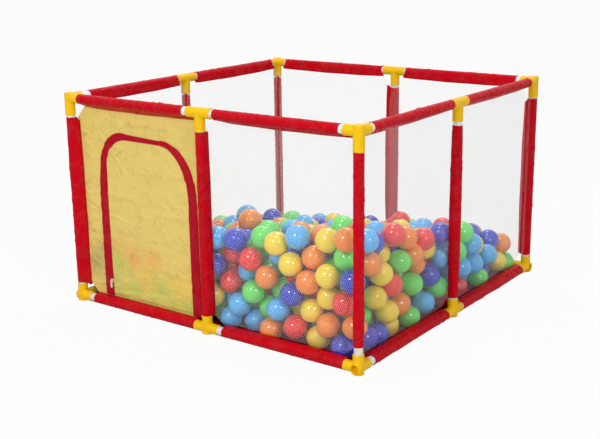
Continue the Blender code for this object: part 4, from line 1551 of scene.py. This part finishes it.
@dataclass
class Door:
    """The cloth wall of the first front bay, its arched flap, and the zip between them.

    The arch has a short round at its left and a long one at its right, where the cloth pulls.
    Its creases are loose ones, a fan at each upper corner, and pulls at the left edge. Across and
    away are how far these lie from the wall's side, drop how far below the top rail's axis.
    The sleeves hold the wall as far in from the bay's axes as its seams say. The tape's widths are
    shares of its full one at stops on its way round, and its pucker fades out between two shares
    of that way.
    """

    layout: Layout
    finishes: Finishes
    heap: "BallHeap"
    left_across: float = 0.085
    left_rise: float = 0.080
    right_across: float = 0.110
    right_rise: float = 0.155
    top_fall: float = 0.001
    gap: float = 0.0005
    cloth: float = 0.0009
    crease_height: float = 0.0024
    loose: CreaseKind = CreaseKind(70, (0.003, 0.008), (0.03, 0.12))
    loose_foot: float = 0.05
    loose_lean: float = 0.10
    left_fan: CreaseKind = CreaseKind(22, (0.002, 0.005), (0.02, 0.05))
    left_fan_lean: Range = (-1.6, -0.5)
    left_fan_away: Range = (0.03, 0.13)
    left_fan_across: float = 0.05
    left_fan_drop: float = 0.04
    right_fan: CreaseKind = CreaseKind(16, (0.002, 0.005), (0.02, 0.05))
    right_fan_lean: Range = (-0.1, 0.3)
    right_fan_across: Range = (0.02, 0.12)
    right_fan_drop: Range = (0.03, 0.12)
    left_pull: CreaseKind = CreaseKind(46, (0.002, 0.004), (0.012, 0.035), (-2.4, 2.4))
    left_pull_lean: Range = (-0.6, 0.1)
    left_pull_across: Range = (0.0, 0.07)
    left_pull_foot: float = 0.08
    left_pull_drop: float = 0.06
    arch_points: int = 60
    corner_run: float = 0.012
    corner_rise: float = 0.045
    foot_gap: float = 0.002
    head_gap: float = 0.004
    wall_rings: int = 44
    wall_columns: int = 420
    wall_arch_columns: int = 315
    flap_rows: int = 130
    flap_columns: int = 100
    flap_edge_points: int = 800
    tape_rows: int = 8
    tape_columns: int = 520
    tape_stops: tuple[float, ...] = (0.0, 0.30, 0.37, 0.44, 0.50, 0.58, 0.66, 0.76, 1.0)
    tape_widths: tuple[float, ...] = (1.1, 1.0, 0.62, 0.9, 0.75, 0.6, 0.85, 1.08, 1.08)
    tape_length: float = 1.35
    pucker_height: float = 0.0010
    pucker_end: Range = (0.6, 0.7)
    tape_lift: float = 0.0018
    left_seam: float = 0.030
    right_seam: float = 0.018
    top_seam: float = 0.031
    bottom_seam: float = 0.019
    seam_reach: float = 0.014
    lap: float = 0.0130
    tooth_pitch: float = 0.0040
    glow_reach: float = 0.034
    glow_top: float = 0.22
    glow_share: float = 0.72
    glow_veil: float = 0.55
    seed: int = 7

    def __post_init__(self) -> None:
        """Read the door's place from its nodes and lay out the creases of its cloth."""
        place = self.layout
        low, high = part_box("door_flap")
        tape_low, tape_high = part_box("zip_tape")
        shift = place.half_side
        self.centre = (low.x + high.x) / 2 + shift
        self.half_width = (high.x - low.x) / 2 + self.gap
        self.base = low.z - self.gap
        self.top = high.z + self.gap
        self.leg_width = (tape_high.x - tape_low.x) / 2 - self.half_width
        self.top_width = tape_high.z - self.top
        self.foot = tape_low.z
        self.creases = self.lay_creases(np.random.default_rng(self.seed))

    def lay_creases(self, rng: np.random.Generator) -> list[Crease]:
        """Lay out the creases: loose ones, a fan at each upper corner, and pulls at the left edge.

        Args:
            rng: The source of places and sizes.

        Returns:
            The creases.
        """
        bay, rise = self.layout.bay_length, self.layout.top_axis
        creases = []
        for _ in range(self.loose.count):
            centre, level = rng.uniform(0, bay), rng.uniform(self.loose_foot, rise)
            lean = rng.normal(0, self.loose_lean)
            creases.append(self.loose.lay(centre, level, lean, rng))
        for _ in range(self.left_fan.count):
            lean, away = rng.uniform(*self.left_fan_lean), rng.uniform(*self.left_fan_away)
            centre = self.left_fan_across + away
            level = rise - self.left_fan_drop + lean * away
            creases.append(self.left_fan.lay(centre, level, lean, rng))
        for _ in range(self.right_fan.count):
            centre = bay - rng.uniform(*self.right_fan_across)
            level = rise - rng.uniform(*self.right_fan_drop)
            lean = rng.uniform(*self.right_fan_lean)
            creases.append(self.right_fan.lay(centre, level, lean, rng))
        for _ in range(self.left_pull.count):
            centre = rng.uniform(*self.left_pull_across)
            level = rng.uniform(self.left_pull_foot, rise - self.left_pull_drop)
            lean = rng.uniform(*self.left_pull_lean)
            creases.append(self.left_pull.lay(centre, level, lean, rng))
        return creases

    def relief(self, along: np.ndarray, up: np.ndarray) -> np.ndarray:
        """Work out how far the cloth stands out at points of the wall.

        Args:
            along: Distances along the bay.
            up: Heights above the floor.

        Returns:
            The height at each point.
        """
        height = np.zeros_like(along)
        for crease in self.creases:
            height += self.crease_height * crease.rise * crease.ridge(along, up)
        belly = np.sin(np.clip(up / self.top, 0, 1) * math.pi) * self.crease_height
        return np.clip(height, -self.crease_height, self.crease_height) + belly

    def freedom(self, along: np.ndarray, up: np.ndarray) -> np.ndarray:
        """Tell how free the cloth is to crease at each point: not at all inside the sleeves.

        Args:
            along: Distances along the bay.
            up: Heights above the floor.

        Returns:
            0 where it is held, and 1 where it is free.
        """
        place = self.layout
        distance = np.minimum.reduce([
            along - self.left_seam,
            place.bay_length - self.right_seam - along,
            place.top_axis - self.top_seam - up,
            up - place.bottom_axis - self.bottom_seam,
        ])
        return np.clip(distance / self.seam_reach, 0, 1)

    def arch(self, side: np.ndarray, over: np.ndarray, base: float) -> np.ndarray:
        """Draw the door's arch from foot to foot.

        Args:
            side: How far it lies outside the doorway at its legs, from left to right.
            over: How far it lies above the doorway at its top, from left to right.
            base: The height of its feet.

        Returns:
            Points along the bay and up, from the left foot to the right.
        """
        turn = np.linspace(0, QUARTER_TURN, self.arch_points)
        cosine, sine = np.cos(turn), np.sin(turn)
        half, top = self.half_width, self.top
        left = np.stack([-half + self.left_across * (1 - cosine),
                         top - self.left_rise * (1 - sine)], -1)
        right = np.stack([half - self.right_across * (1 - cosine),
                          top - self.top_fall - self.right_rise * (1 - sine)], -1)
        path = np.concatenate([[(-half, base)], left, right[::-1], [(half, base)]])
        lengths = np.concatenate([[0], np.cumsum(np.linalg.norm(np.diff(path, axis=0), axis=1))])
        stations = np.linspace(0, lengths[-1], len(side))
        points = np.stack([np.interp(stations, lengths, path[:, axis]) for axis in (0, 1)], -1)
        run = np.gradient(points, axis=0)
        run /= np.linalg.norm(run, axis=1)[:, None]
        normal = np.stack([-run[:, 1], run[:, 0]], -1)
        grow = side * np.abs(normal[:, 0]) + over * np.abs(normal[:, 1])
        points = points + normal * grow[:, None]
        points[[0, -1], 1] = base
        points[:, 0] += self.centre
        return points

    def doorway(self, count: int, inset: float = 0.0) -> np.ndarray:
        """Draw the doorway's own edge."""
        level = np.full(count, -inset)
        return self.arch(level, level, self.base + inset)

    def let_glow(self, mesh: bpy.types.Mesh) -> None:
        """Paint a glow into the cloth where the colours of the balls behind show through it:
        painted light, taken from the balls' places and colours.

        Args:
            mesh: The cloth's mesh, in the pit's axes.
        """
        count = len(mesh.vertices)
        places = np.empty(count * 3, np.float32)
        mesh.vertices.foreach_get("co", places)
        places = places.reshape(-1, 3)
        glow = np.zeros((count, 4))
        cloth = np.array(self.finishes.colour_of("door_cloth"))
        for centre, colour in self.heap.near_wall(self.layout.wall_inner):
            across = np.hypot(places[:, 0] - centre[0], places[:, 2] - centre[2])
            weight = np.exp(-(across / self.glow_reach) ** 2)
            weight *= np.clip((self.glow_top - centre[2]) / self.heap.radius, 0, 1)
            seen = cloth * (self.glow_veil + (1 - self.glow_veil) * np.array(colour))
            glow[:, :3] += weight[:, None] * seen
            glow[:, 3] += weight
        glow[:, :3] /= glow[:, 3:].clip(1e-6)
        glow[:, 3] = np.clip(glow[:, 3], 0, 1) * self.glow_share
        layer = mesh.attributes.new("glow", "FLOAT_COLOR", "POINT")
        layer.data.foreach_set("color", glow.astype(np.float32).ravel())

    def sheet(self, name: str, points: np.ndarray, lift: float, closed: bool = False
              ) -> bpy.types.Mesh:
        """Make a cloth from rows of flat points, with the wall's creases and a lift outwards.

        Args:
            name: The mesh's name.
            points: Rows of points along the bay and up.
            lift: How far it lies outwards.
            closed: Whether each row is a ring.

        Returns:
            The mesh, in the pit's axes.
        """
        along, up = points[..., 0], points[..., 1]
        relief = self.relief(along, up) * self.freedom(along, up)
        out = self.layout.wall_outer - lift - relief
        rows = np.stack([points[..., 0], out, points[..., 1]], axis=-1)
        mesh = grid_mesh(name, rows, points, Vector((0, -1, 0)), closed)
        mesh.transform(self.layout.bay(Side.FRONT, 0))
        return mesh

    def outline(self) -> np.ndarray:
        """Draw the wall's outline with its corners cut back from the connectors.

        Returns:
            Its corners along the bay and up.
        """
        place = self.layout
        low = place.bottom_axis + place.tube_radius + self.foot_gap
        high = place.top_axis - place.tube_radius - self.head_gap
        along, up = place.rail_mouth + self.corner_run, self.corner_rise
        start, end = self.lap, place.bay_length - self.gap
        return np.array([
            (along, low), (end - along, low), (end, low + up), (end, high - up),
            (end - along / 2, high), (along, high), (start, high - up), (start, low + up),
        ])

    def build_wall(self) -> None:
        """Make the wall: rings of cloth from the doorway out to the seams."""
        count = self.wall_columns
        doorway = self.doorway(self.wall_arch_columns)
        sill = np.linspace(doorway[-1], doorway[0], count - len(doorway) + 2)[1:-1]
        inner = np.concatenate([doorway, sill])
        middle = np.array([self.centre, (self.base + self.top) / 2])
        corners = self.outline()
        outer = np.array([self.cast(middle, point - middle, corners) for point in inner])
        share = np.linspace(0, 1, self.wall_rings)[:, None, None]
        points = inner[None] * (1 - share) + outer[None] * share
        mesh = self.sheet("door_wall", points, 0, closed=True)
        self.let_glow(mesh)
        wall = show("door_wall", mesh)
        thicken(wall, self.cloth)
        dress(wall, "door_cloth", self.finishes, "frame", "door_cover")

    @staticmethod
    def cast(start: np.ndarray, direction: np.ndarray, corners: np.ndarray) -> np.ndarray:
        """Find where a ray from inside a convex outline leaves it.

        Args:
            start: Where the ray starts.
            direction: Which way it goes.
            corners: The outline's corners in order.

        Returns:
            The place where it leaves.
        """
        best = math.inf
        for index, corner in enumerate(corners):
            edge = corner - corners[index - 1]
            across = direction[0] * edge[1] - direction[1] * edge[0]
            if abs(across) < 1e-12:
                continue
            offset = corners[index - 1] - start
            distance = (offset[0] * edge[1] - offset[1] * edge[0]) / across
            if 0 < distance < best:
                best = distance
        return start + direction * best

    def build_flap(self) -> None:
        """Make the flap that fills the doorway, from its sill up to the arch."""
        edge = self.doorway(self.flap_edge_points, self.gap)
        crown = len(edge) // 2
        reach = self.half_width - self.gap
        turns = np.linspace(-QUARTER_TURN, QUARTER_TURN, self.flap_columns)
        across = self.centre + reach * np.sin(turns)
        rising, falling = (
            np.interp(across, side[:, 0] + np.arange(len(side)) * 1e-9, side[:, 1])
            for side in (edge[:crown], edge[crown:])
        )
        top = np.where(across < edge[crown, 0], rising, falling)
        base = self.base + self.gap
        share = np.linspace(0, 1, self.flap_rows)[:, None]
        up = base + (top - base)[None, :] * share
        along = np.repeat(across[None, :], self.flap_rows, axis=0)
        mesh = self.sheet("door_flap", np.stack([along, up], -1), 0)
        self.let_glow(mesh)
        flap = show("door_flap_cloth", mesh)
        thicken(flap, self.cloth)
        dress(flap, "door_cloth", self.finishes, "door_flap", "door_flap")

    def build_tape(self) -> None:
        """Sew the zip's tape round the doorway, its inner edge puckered at each tooth."""
        share = np.linspace(0, 1, self.tape_columns)
        widths = np.interp(share, self.tape_stops, self.tape_widths)
        teeth = share * math.pi * 2 * self.tape_length / self.tooth_pitch / 2
        pucker = self.pucker_height * np.sin(teeth)
        pucker *= np.interp(share, self.pucker_end, (1, 0))
        inner = self.arch(pucker, pucker, self.foot)
        outer = self.arch(self.leg_width * widths, self.top_width * widths, self.foot)
        step = np.linspace(0, 1, self.tape_rows)[:, None, None]
        points = inner[None] * (1 - step) + outer[None] * step
        tape = show("zip_tape_cloth", self.sheet("zip_tape", points, self.tape_lift))
        thicken(tape, self.cloth)
        dress(tape, "tape_cloth", self.finishes, "frame", "zip_tape")

    def build(self) -> None:
        """Make the door."""
        self.build_wall()
        self.build_flap()
        self.build_tape()
        for node in ("zip_slider", "zip_pull"):
            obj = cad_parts[node]
            obj.data.materials.clear()
            obj.data.materials.append(self.finishes["zip_metal"])


@dataclass
class Mat:
    """The floor of coated cloth, sewn to the bottom sleeves and cut out round the connectors."""

    layout: Layout
    finishes: Finishes
    stations: int = 9
    notch_gap: float = 0.0004
    skin: float = 0.0002

    def __post_init__(self) -> None:
        """Work out how deep and how wide the cut-outs are."""
        place = self.layout
        self.notch_reach = place.rail_mouth + self.notch_gap
        self.notch_depth = max(place.connector_radius, place.post_arm_radius) + self.notch_gap

    def in_notch(self, across: float, along: float) -> bool:
        """Tell whether a place lies in one of the cut-outs.

        Args:
            across: The place's coordinate along X.
            along: Its coordinate along Y.

        Returns:
            True in a cut-out.
        """
        edge = self.layout.half_side
        outer, other = max(abs(across), abs(along)), min(abs(across), abs(along))
        return outer > edge - self.notch_depth and (
            other < self.notch_reach or other > edge - self.notch_reach)

    def build(self) -> None:
        """Lay the mat."""
        low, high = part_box("floor_mat")
        edge, reach, depth = self.layout.half_side, self.notch_reach, self.notch_depth
        stops = (-edge, depth - edge, reach - edge, -reach, reach, edge - reach, edge - depth, edge)
        lines = [np.linspace(first, last, self.stations, endpoint=False)
                 for first, last in zip(stops, stops[1:])]
        across = np.append(np.concatenate(lines), edge)
        along, up = np.meshgrid(across, across, indexing="ij")
        height = np.full_like(along, high.z - self.skin)
        rows = np.stack([along, up, height], axis=-1)
        mesh = grid_mesh("mat", rows, np.stack([along, up], -1), Vector((0, 0, 1)))
        bm = bmesh.new()
        bm.from_mesh(mesh)
        cut = [face for face in bm.faces if self.in_notch(*face.calc_center_median().xy)]
        bmesh.ops.delete(bm, geom=cut, context="FACES")
        bm.to_mesh(mesh)
        bm.free()
        mat = show("floor_mat_cloth", mesh)
        thicken(mat, high.z - low.z - 2 * self.skin)
        dress(mat, "mat_cloth", self.finishes, "frame", "floor_mat")


# Balls


@dataclass
class BallPile:
    """Balls dropped one by one inside four walls, under a slanting top.

    Places are counted in ball radii from the middle of the floor. They are kept by cells as wide
    as a ball, so what a ball rests on lies in its own cell or the eight around it. Reach is how
    far a centre may lie from the middle.
    """

    reach: float
    corner_heights: list[float]
    seed: int = 8
    drop_tries: int = 60
    roll_rounds: int = 4
    roll_tries: int = 10
    roll_step: float = 0.5
    most_misses: int = 40
    touching: int = 2
    balls: list[Place] = field(default_factory=list)
    cells: dict[tuple[float, float], list[Place]] = field(default_factory=dict)

    def __post_init__(self) -> None:
        """Start the source of random places."""
        self.chooser = random.Random(self.seed)

    def top(self, across: float, along: float) -> float:
        """Give the height that the heap may have at a place, between those of its corners.

        Args:
            across: The place's coordinate along X.
            along: Its coordinate along Y.

        Returns:
            The height.
        """
        front_left, front_right, back_right, back_left = self.corner_heights
        across_share = (across / (self.reach + 1) + 1) / 2
        along_share = (along / (self.reach + 1) + 1) / 2
        front = front_left + (front_right - front_left) * across_share
        back = back_left + (back_right - back_left) * across_share
        return front + (back - front) * along_share

    def rest(self, across: float, along: float) -> float:
        """Find how high a ball's centre comes to rest at a place.

        Args:
            across: The place's coordinate along X.
            along: Its coordinate along Y.

        Returns:
            The centre's height.
        """
        height = 1
        column, row = across // self.touching, along // self.touching
        for cell in ((column + i, row + j) for i in (-1, 0, 1) for j in (-1, 0, 1)):
            for other_across, other_along, other_height in self.cells.get(cell, ()):
                apart = (other_across - across) ** 2 + (other_along - along) ** 2
                drop = self.touching ** 2 - apart
                if drop > 0:
                    height = max(height, other_height + math.sqrt(drop))
        return height

    def room(self, place: tuple[float, float]) -> float:
        """Tell how far the heap's top lies over a ball that rests at a place."""
        return self.top(*place) - 1 - self.rest(*place)

    def roll(self, across: float, along: float) -> Place:
        """Roll a ball from a place to the lowest one that a few random steps find.

        Args:
            across: The place's coordinate along X.
            along: Its coordinate along Y.

        Returns:
            The centre's place.
        """
        height = self.rest(across, along)
        step = self.roll_step
        for _ in range(self.roll_rounds):
            for _ in range(self.roll_tries):
                place = [
                    min(max(value + self.chooser.uniform(-step, step), -self.reach), self.reach)
                    for value in (across, along)
                ]
                if self.rest(*place) < height:
                    across, along = place
                    height = self.rest(across, along)
            step /= 2
        return across, along, height

    def drop(self) -> Place:
        """Find where the next ball goes: the roomiest of a few random places, and rolled.

        Returns:
            The centre's place.
        """
        places = [
            (self.chooser.uniform(-self.reach, self.reach),
             self.chooser.uniform(-self.reach, self.reach))
            for _ in range(self.drop_tries)
        ]
        return self.roll(*max(places, key=self.room))

    def fill(self) -> None:
        """Drop balls until hardly any more fits under the top."""
        misses = 0
        while misses < self.most_misses:
            ball = self.drop()
            if self.room(ball[:2]) < 0:
                misses += 1
                continue
            self.balls.append(ball)
            cell = (ball[0] // self.touching, ball[1] // self.touching)
            self.cells.setdefault(cell, []).append(ball)


@dataclass
class BallHeap:
    """Balls heaped against the front right corner, and the single ones on top."""

    layout: Layout
    finishes: Finishes
    front_left_height: float = 0.270
    front_right_height: float = 0.400
    back_right_height: float = 0.175
    back_left_height: float = 0.080
    skin_gap: float = 0.0002
    heap_sides: int = 4
    loose_sides: int = 12
    near_share: float = 1.6
    turn_seed: int = 3
    colour_seed: int = 5875
    loose: dict[str, Vector] = field(default_factory=dict)

    def __post_init__(self) -> None:
        """Read the balls' size and the heap's walls from the frame, and drop the balls."""
        for node in sorted(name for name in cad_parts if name.startswith("loose_ball")):
            low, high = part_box(node)
            self.loose[node] = (low + high) / 2
            self.radius = (high.z - low.z) / 2
        low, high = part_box("ball_heap")
        heights = (self.front_left_height, self.front_right_height,
                   self.back_right_height, self.back_left_height)
        pile = BallPile(self.in_radii(high.x - self.radius),
                        [self.in_radii(height) for height in heights])
        pile.fill()
        self.places = np.array(pile.balls) * self.radius + (0, 0, low.z)
        weights = np.array([finish.weight for finish in self.finishes.balls])
        chooser = np.random.default_rng(self.colour_seed)
        self.colours = chooser.choice(len(weights), len(self.places), p=weights / weights.sum())
        LOG.info("%d balls in the heap, the highest at %.3f", len(self.places),
                 self.places[:, 2].max() + self.radius)

    def in_radii(self, length: float) -> float:
        """Count a length in ball radii, rounded so that a pit scaled as a whole heaps alike."""
        return round(length / self.radius, 3)

    def near_wall(self, wall_inner: float) -> list[tuple[np.ndarray, Colour]]:
        """List the balls that touch the front wall, or nearly.

        Args:
            wall_inner: How far inwards the wall's inner face lies.

        Returns:
            The centre and colour of each such ball.
        """
        limit = wall_inner - self.layout.half_side + self.near_share * self.radius
        colours = [finish.colour for finish in self.finishes.balls]
        return [
            (place, colours[index]) for place, index in zip(self.places, self.colours)
            if place[1] < limit
        ]

    def ball_tree(self) -> GeometryTree:
        """Build the tree that sets a round ball, made of a cube's squares, at every point.

        Returns:
            The tree.
        """
        tree = GeometryTree("balls", {"Radius": "NodeSocketFloat", "Sides": "NodeSocketInt"})
        marked = tree.add("GeometryNodeStoreNamedAttribute", {
            "Geometry": tree.given["Geometry"], "Name": "ball_centre",
            "Value": tree.add("GeometryNodeInputPosition").outputs[0],
        }, data_type="FLOAT_VECTOR", domain="POINT")
        corners = tree.math("ADD", tree.given["Sides"], 1.0)
        cube = tree.add("GeometryNodeMeshCube", {
            "Vertices X": corners, "Vertices Y": corners, "Vertices Z": corners,
        })
        here = tree.add("GeometryNodeInputPosition").outputs[0]
        outward = tree.vector_math("NORMALIZE", here).outputs[0]
        scaled = tree.add(
            "ShaderNodeVectorMath", {0: outward, "Scale": tree.given["Radius"]}, operation="SCALE"
        )
        ball = tree.add("GeometryNodeSetPosition", {
            "Geometry": cube.outputs["Mesh"], "Position": scaled.outputs[0],
        })
        turn = tree.add("FunctionNodeRandomValue", {
            "Min": (0.0, 0.0, 0.0), "Max": (math.pi, math.pi, math.pi),
            "Seed": self.turn_seed,
        }, data_type="FLOAT_VECTOR")
        placed = tree.add("GeometryNodeInstanceOnPoints", {
            "Points": marked.outputs[0], "Instance": ball.outputs[0],
            "Rotation": turn.outputs[0],
        })
        tree.close(placed.outputs[0])
        return tree

    def grow_balls(self, tree: GeometryTree, name: str, places: np.ndarray, sides: int,
                   slot: str) -> bpy.types.Object:
        """Set balls of one colour at their places.

        Args:
            tree: The tree that sets the balls.
            name: The piece's name.
            places: The balls' centres.
            sides: Squares along an edge of a ball's cube.
            slot: The name of their finish.

        Returns:
            The piece.
        """
        host = bpy.data.meshes.new(name)
        host.from_pydata(places.tolist(), [], [])
        return show(name, tree.grow(name, host, {
            "Radius": self.radius - self.skin_gap, "Sides": sides,
            "Material": self.finishes[slot],
        }))

    def build(self) -> None:
        """Heap the balls by colour, and lay the single ones."""
        tree = self.ball_tree()
        slots = [finish.slot for finish in self.finishes.balls]
        for index, slot in enumerate(slots):
            places = self.places[self.colours == index]
            balls = self.grow_balls(tree, f"heap_{slot}s", places, self.heap_sides, slot)
            dress(balls, slot, self.finishes, "frame", "ball_heap")
        for index, (node, centre) in enumerate(self.loose.items()):
            slot = slots[index % len(slots)]
            place = np.array([tuple(centre)])
            ball = self.grow_balls(tree, f"{node}_smooth", place, self.loose_sides, slot)
            dress(ball, slot, self.finishes, node, node)


# Stage


@dataclass(frozen=True)
class Lamp:
    """A soft square lamp."""

    name: str
    place: Place
    size: float
    power: float


@dataclass
class Stage:
    """A pale floor, a white background, soft lamps and the photograph's camera."""

    lens: float = 62.76
    sensor: float = 36.0
    camera_place: Place = (1.885, -2.638, 1.1088)
    camera_target: Place = (0.178, -0.302, 0.3168)
    roll: float = math.radians(-0.77)
    floor_size: float = 30.0
    floor_grey: float = 0.70
    floor_roughness: float = 0.9
    floor_white: float = 0.94
    sky: float = 0.50
    lamp_target: Place = (0.0, 0.0, 0.3)
    lamps: tuple[Lamp, ...] = (
        Lamp("key_lamp", (0.4, -3.4, 2.3), 0.85, 41.0),
        Lamp("side_lamp", (3.3, -1.9, 1.9), 0.70, 27.0),
        Lamp("top_lamp", (0.2, -0.8, 3.8), 0.9, 28.0),
        Lamp("back_lamp", (-0.8, 2.0, 3.4), 1.2, 23.0),
    )

    def add_camera(self) -> None:
        """Stand the camera at the photograph's viewing angle."""
        data = bpy.data.cameras.new("camera")
        data.lens = self.lens
        data.sensor_width = self.sensor
        camera = show("camera", data)
        camera.location = self.camera_place
        look = Vector(self.camera_target) - Vector(self.camera_place)
        camera.rotation_mode = "QUATERNION"
        turn = look.to_track_quat("-Z", "Y")
        camera.rotation_quaternion = turn @ Quaternion((0, 0, 1), self.roll)
        bpy.context.scene.camera = camera

    def add_world(self) -> None:
        """Light the scene evenly, with a white background for what looks straight at it."""
        world = bpy.data.worlds.new("studio")
        bpy.context.scene.world = world
        world.use_nodes = True
        graph = Graph(world.node_tree)
        back = world.node_tree.nodes["Background"]
        path = graph.add("ShaderNodeLightPath").outputs
        seen = graph.math("MAXIMUM", path["Is Camera Ray"],
                          graph.math("MAXIMUM", path["Is Glossy Ray"], path["Is Transmission Ray"]))
        strength = graph.add(
            "ShaderNodeMapRange", {"Value": seen, "To Min": self.sky, "To Max": 1.0}
        )
        back.inputs["Color"].default_value = WHITE
        graph.put(back.inputs["Strength"], strength.outputs["Result"])

    def add_floor(self) -> None:
        """Lay the floor, near white to the camera, with the pit's shadow on it."""
        bm = bmesh.new()
        bmesh.ops.create_grid(bm, x_segments=1, y_segments=1, size=self.floor_size / 2)
        mesh = bpy.data.meshes.new("floor")
        bm.to_mesh(mesh)
        bm.free()
        floor = show("floor", mesh)
        material, graph, shader = new_material("floor_paper")
        grey = self.floor_grey
        shader.inputs["Base Color"].default_value = (grey, grey, grey, 1)
        shader.inputs["Roughness"].default_value = self.floor_roughness
        white = graph.add("ShaderNodeEmission", {"Color": WHITE, "Strength": 1.0})
        mix = graph.add("ShaderNodeMixShader")
        path = graph.add("ShaderNodeLightPath").outputs
        share = graph.math("MULTIPLY", path["Is Camera Ray"], self.floor_white)
        graph.put(mix.inputs[0], share)
        graph.put(mix.inputs[1], shader.outputs[0])
        graph.put(mix.inputs[2], white.outputs[0])
        graph.put(material.node_tree.nodes["Material Output"].inputs["Surface"], mix.outputs[0])
        mesh.materials.append(material)

    def add_lamp(self, lamp: Lamp) -> None:
        """Hang a lamp that faces the pit.

        Args:
            lamp: The lamp.
        """
        data = bpy.data.lights.new(lamp.name, "AREA")
        data.size = lamp.size
        data.energy = lamp.power
        obj = show(lamp.name, data)
        obj.location = lamp.place
        look = Vector(self.lamp_target) - Vector(lamp.place)
        obj.rotation_mode = "QUATERNION"
        obj.rotation_quaternion = look.to_track_quat("-Z", "Y")

    def build(self) -> None:
        """Set the stage."""
        bpy.context.scene.view_settings.view_transform = "Standard"
        self.add_camera()
        self.add_world()
        self.add_floor()
        for lamp in self.lamps:
            self.add_lamp(lamp)


def main() -> None:
    """Build the pit's looks round the frame, piece by piece."""
    logging.basicConfig(level=logging.INFO, format="%(message)s")
    Stage().build()
    finishes = Finishes()
    layout = Layout.from_frame()
    ConnectorSet(layout, finishes).build()
    TubeSet(layout, finishes).build()
    CoverSet(layout, finishes).build()
    heap = BallHeap(layout, finishes)
    Door(layout, finishes, heap).build()
    Mat(layout, finishes).build()
    heap.build()


if __name__ == "__main__":
    main()
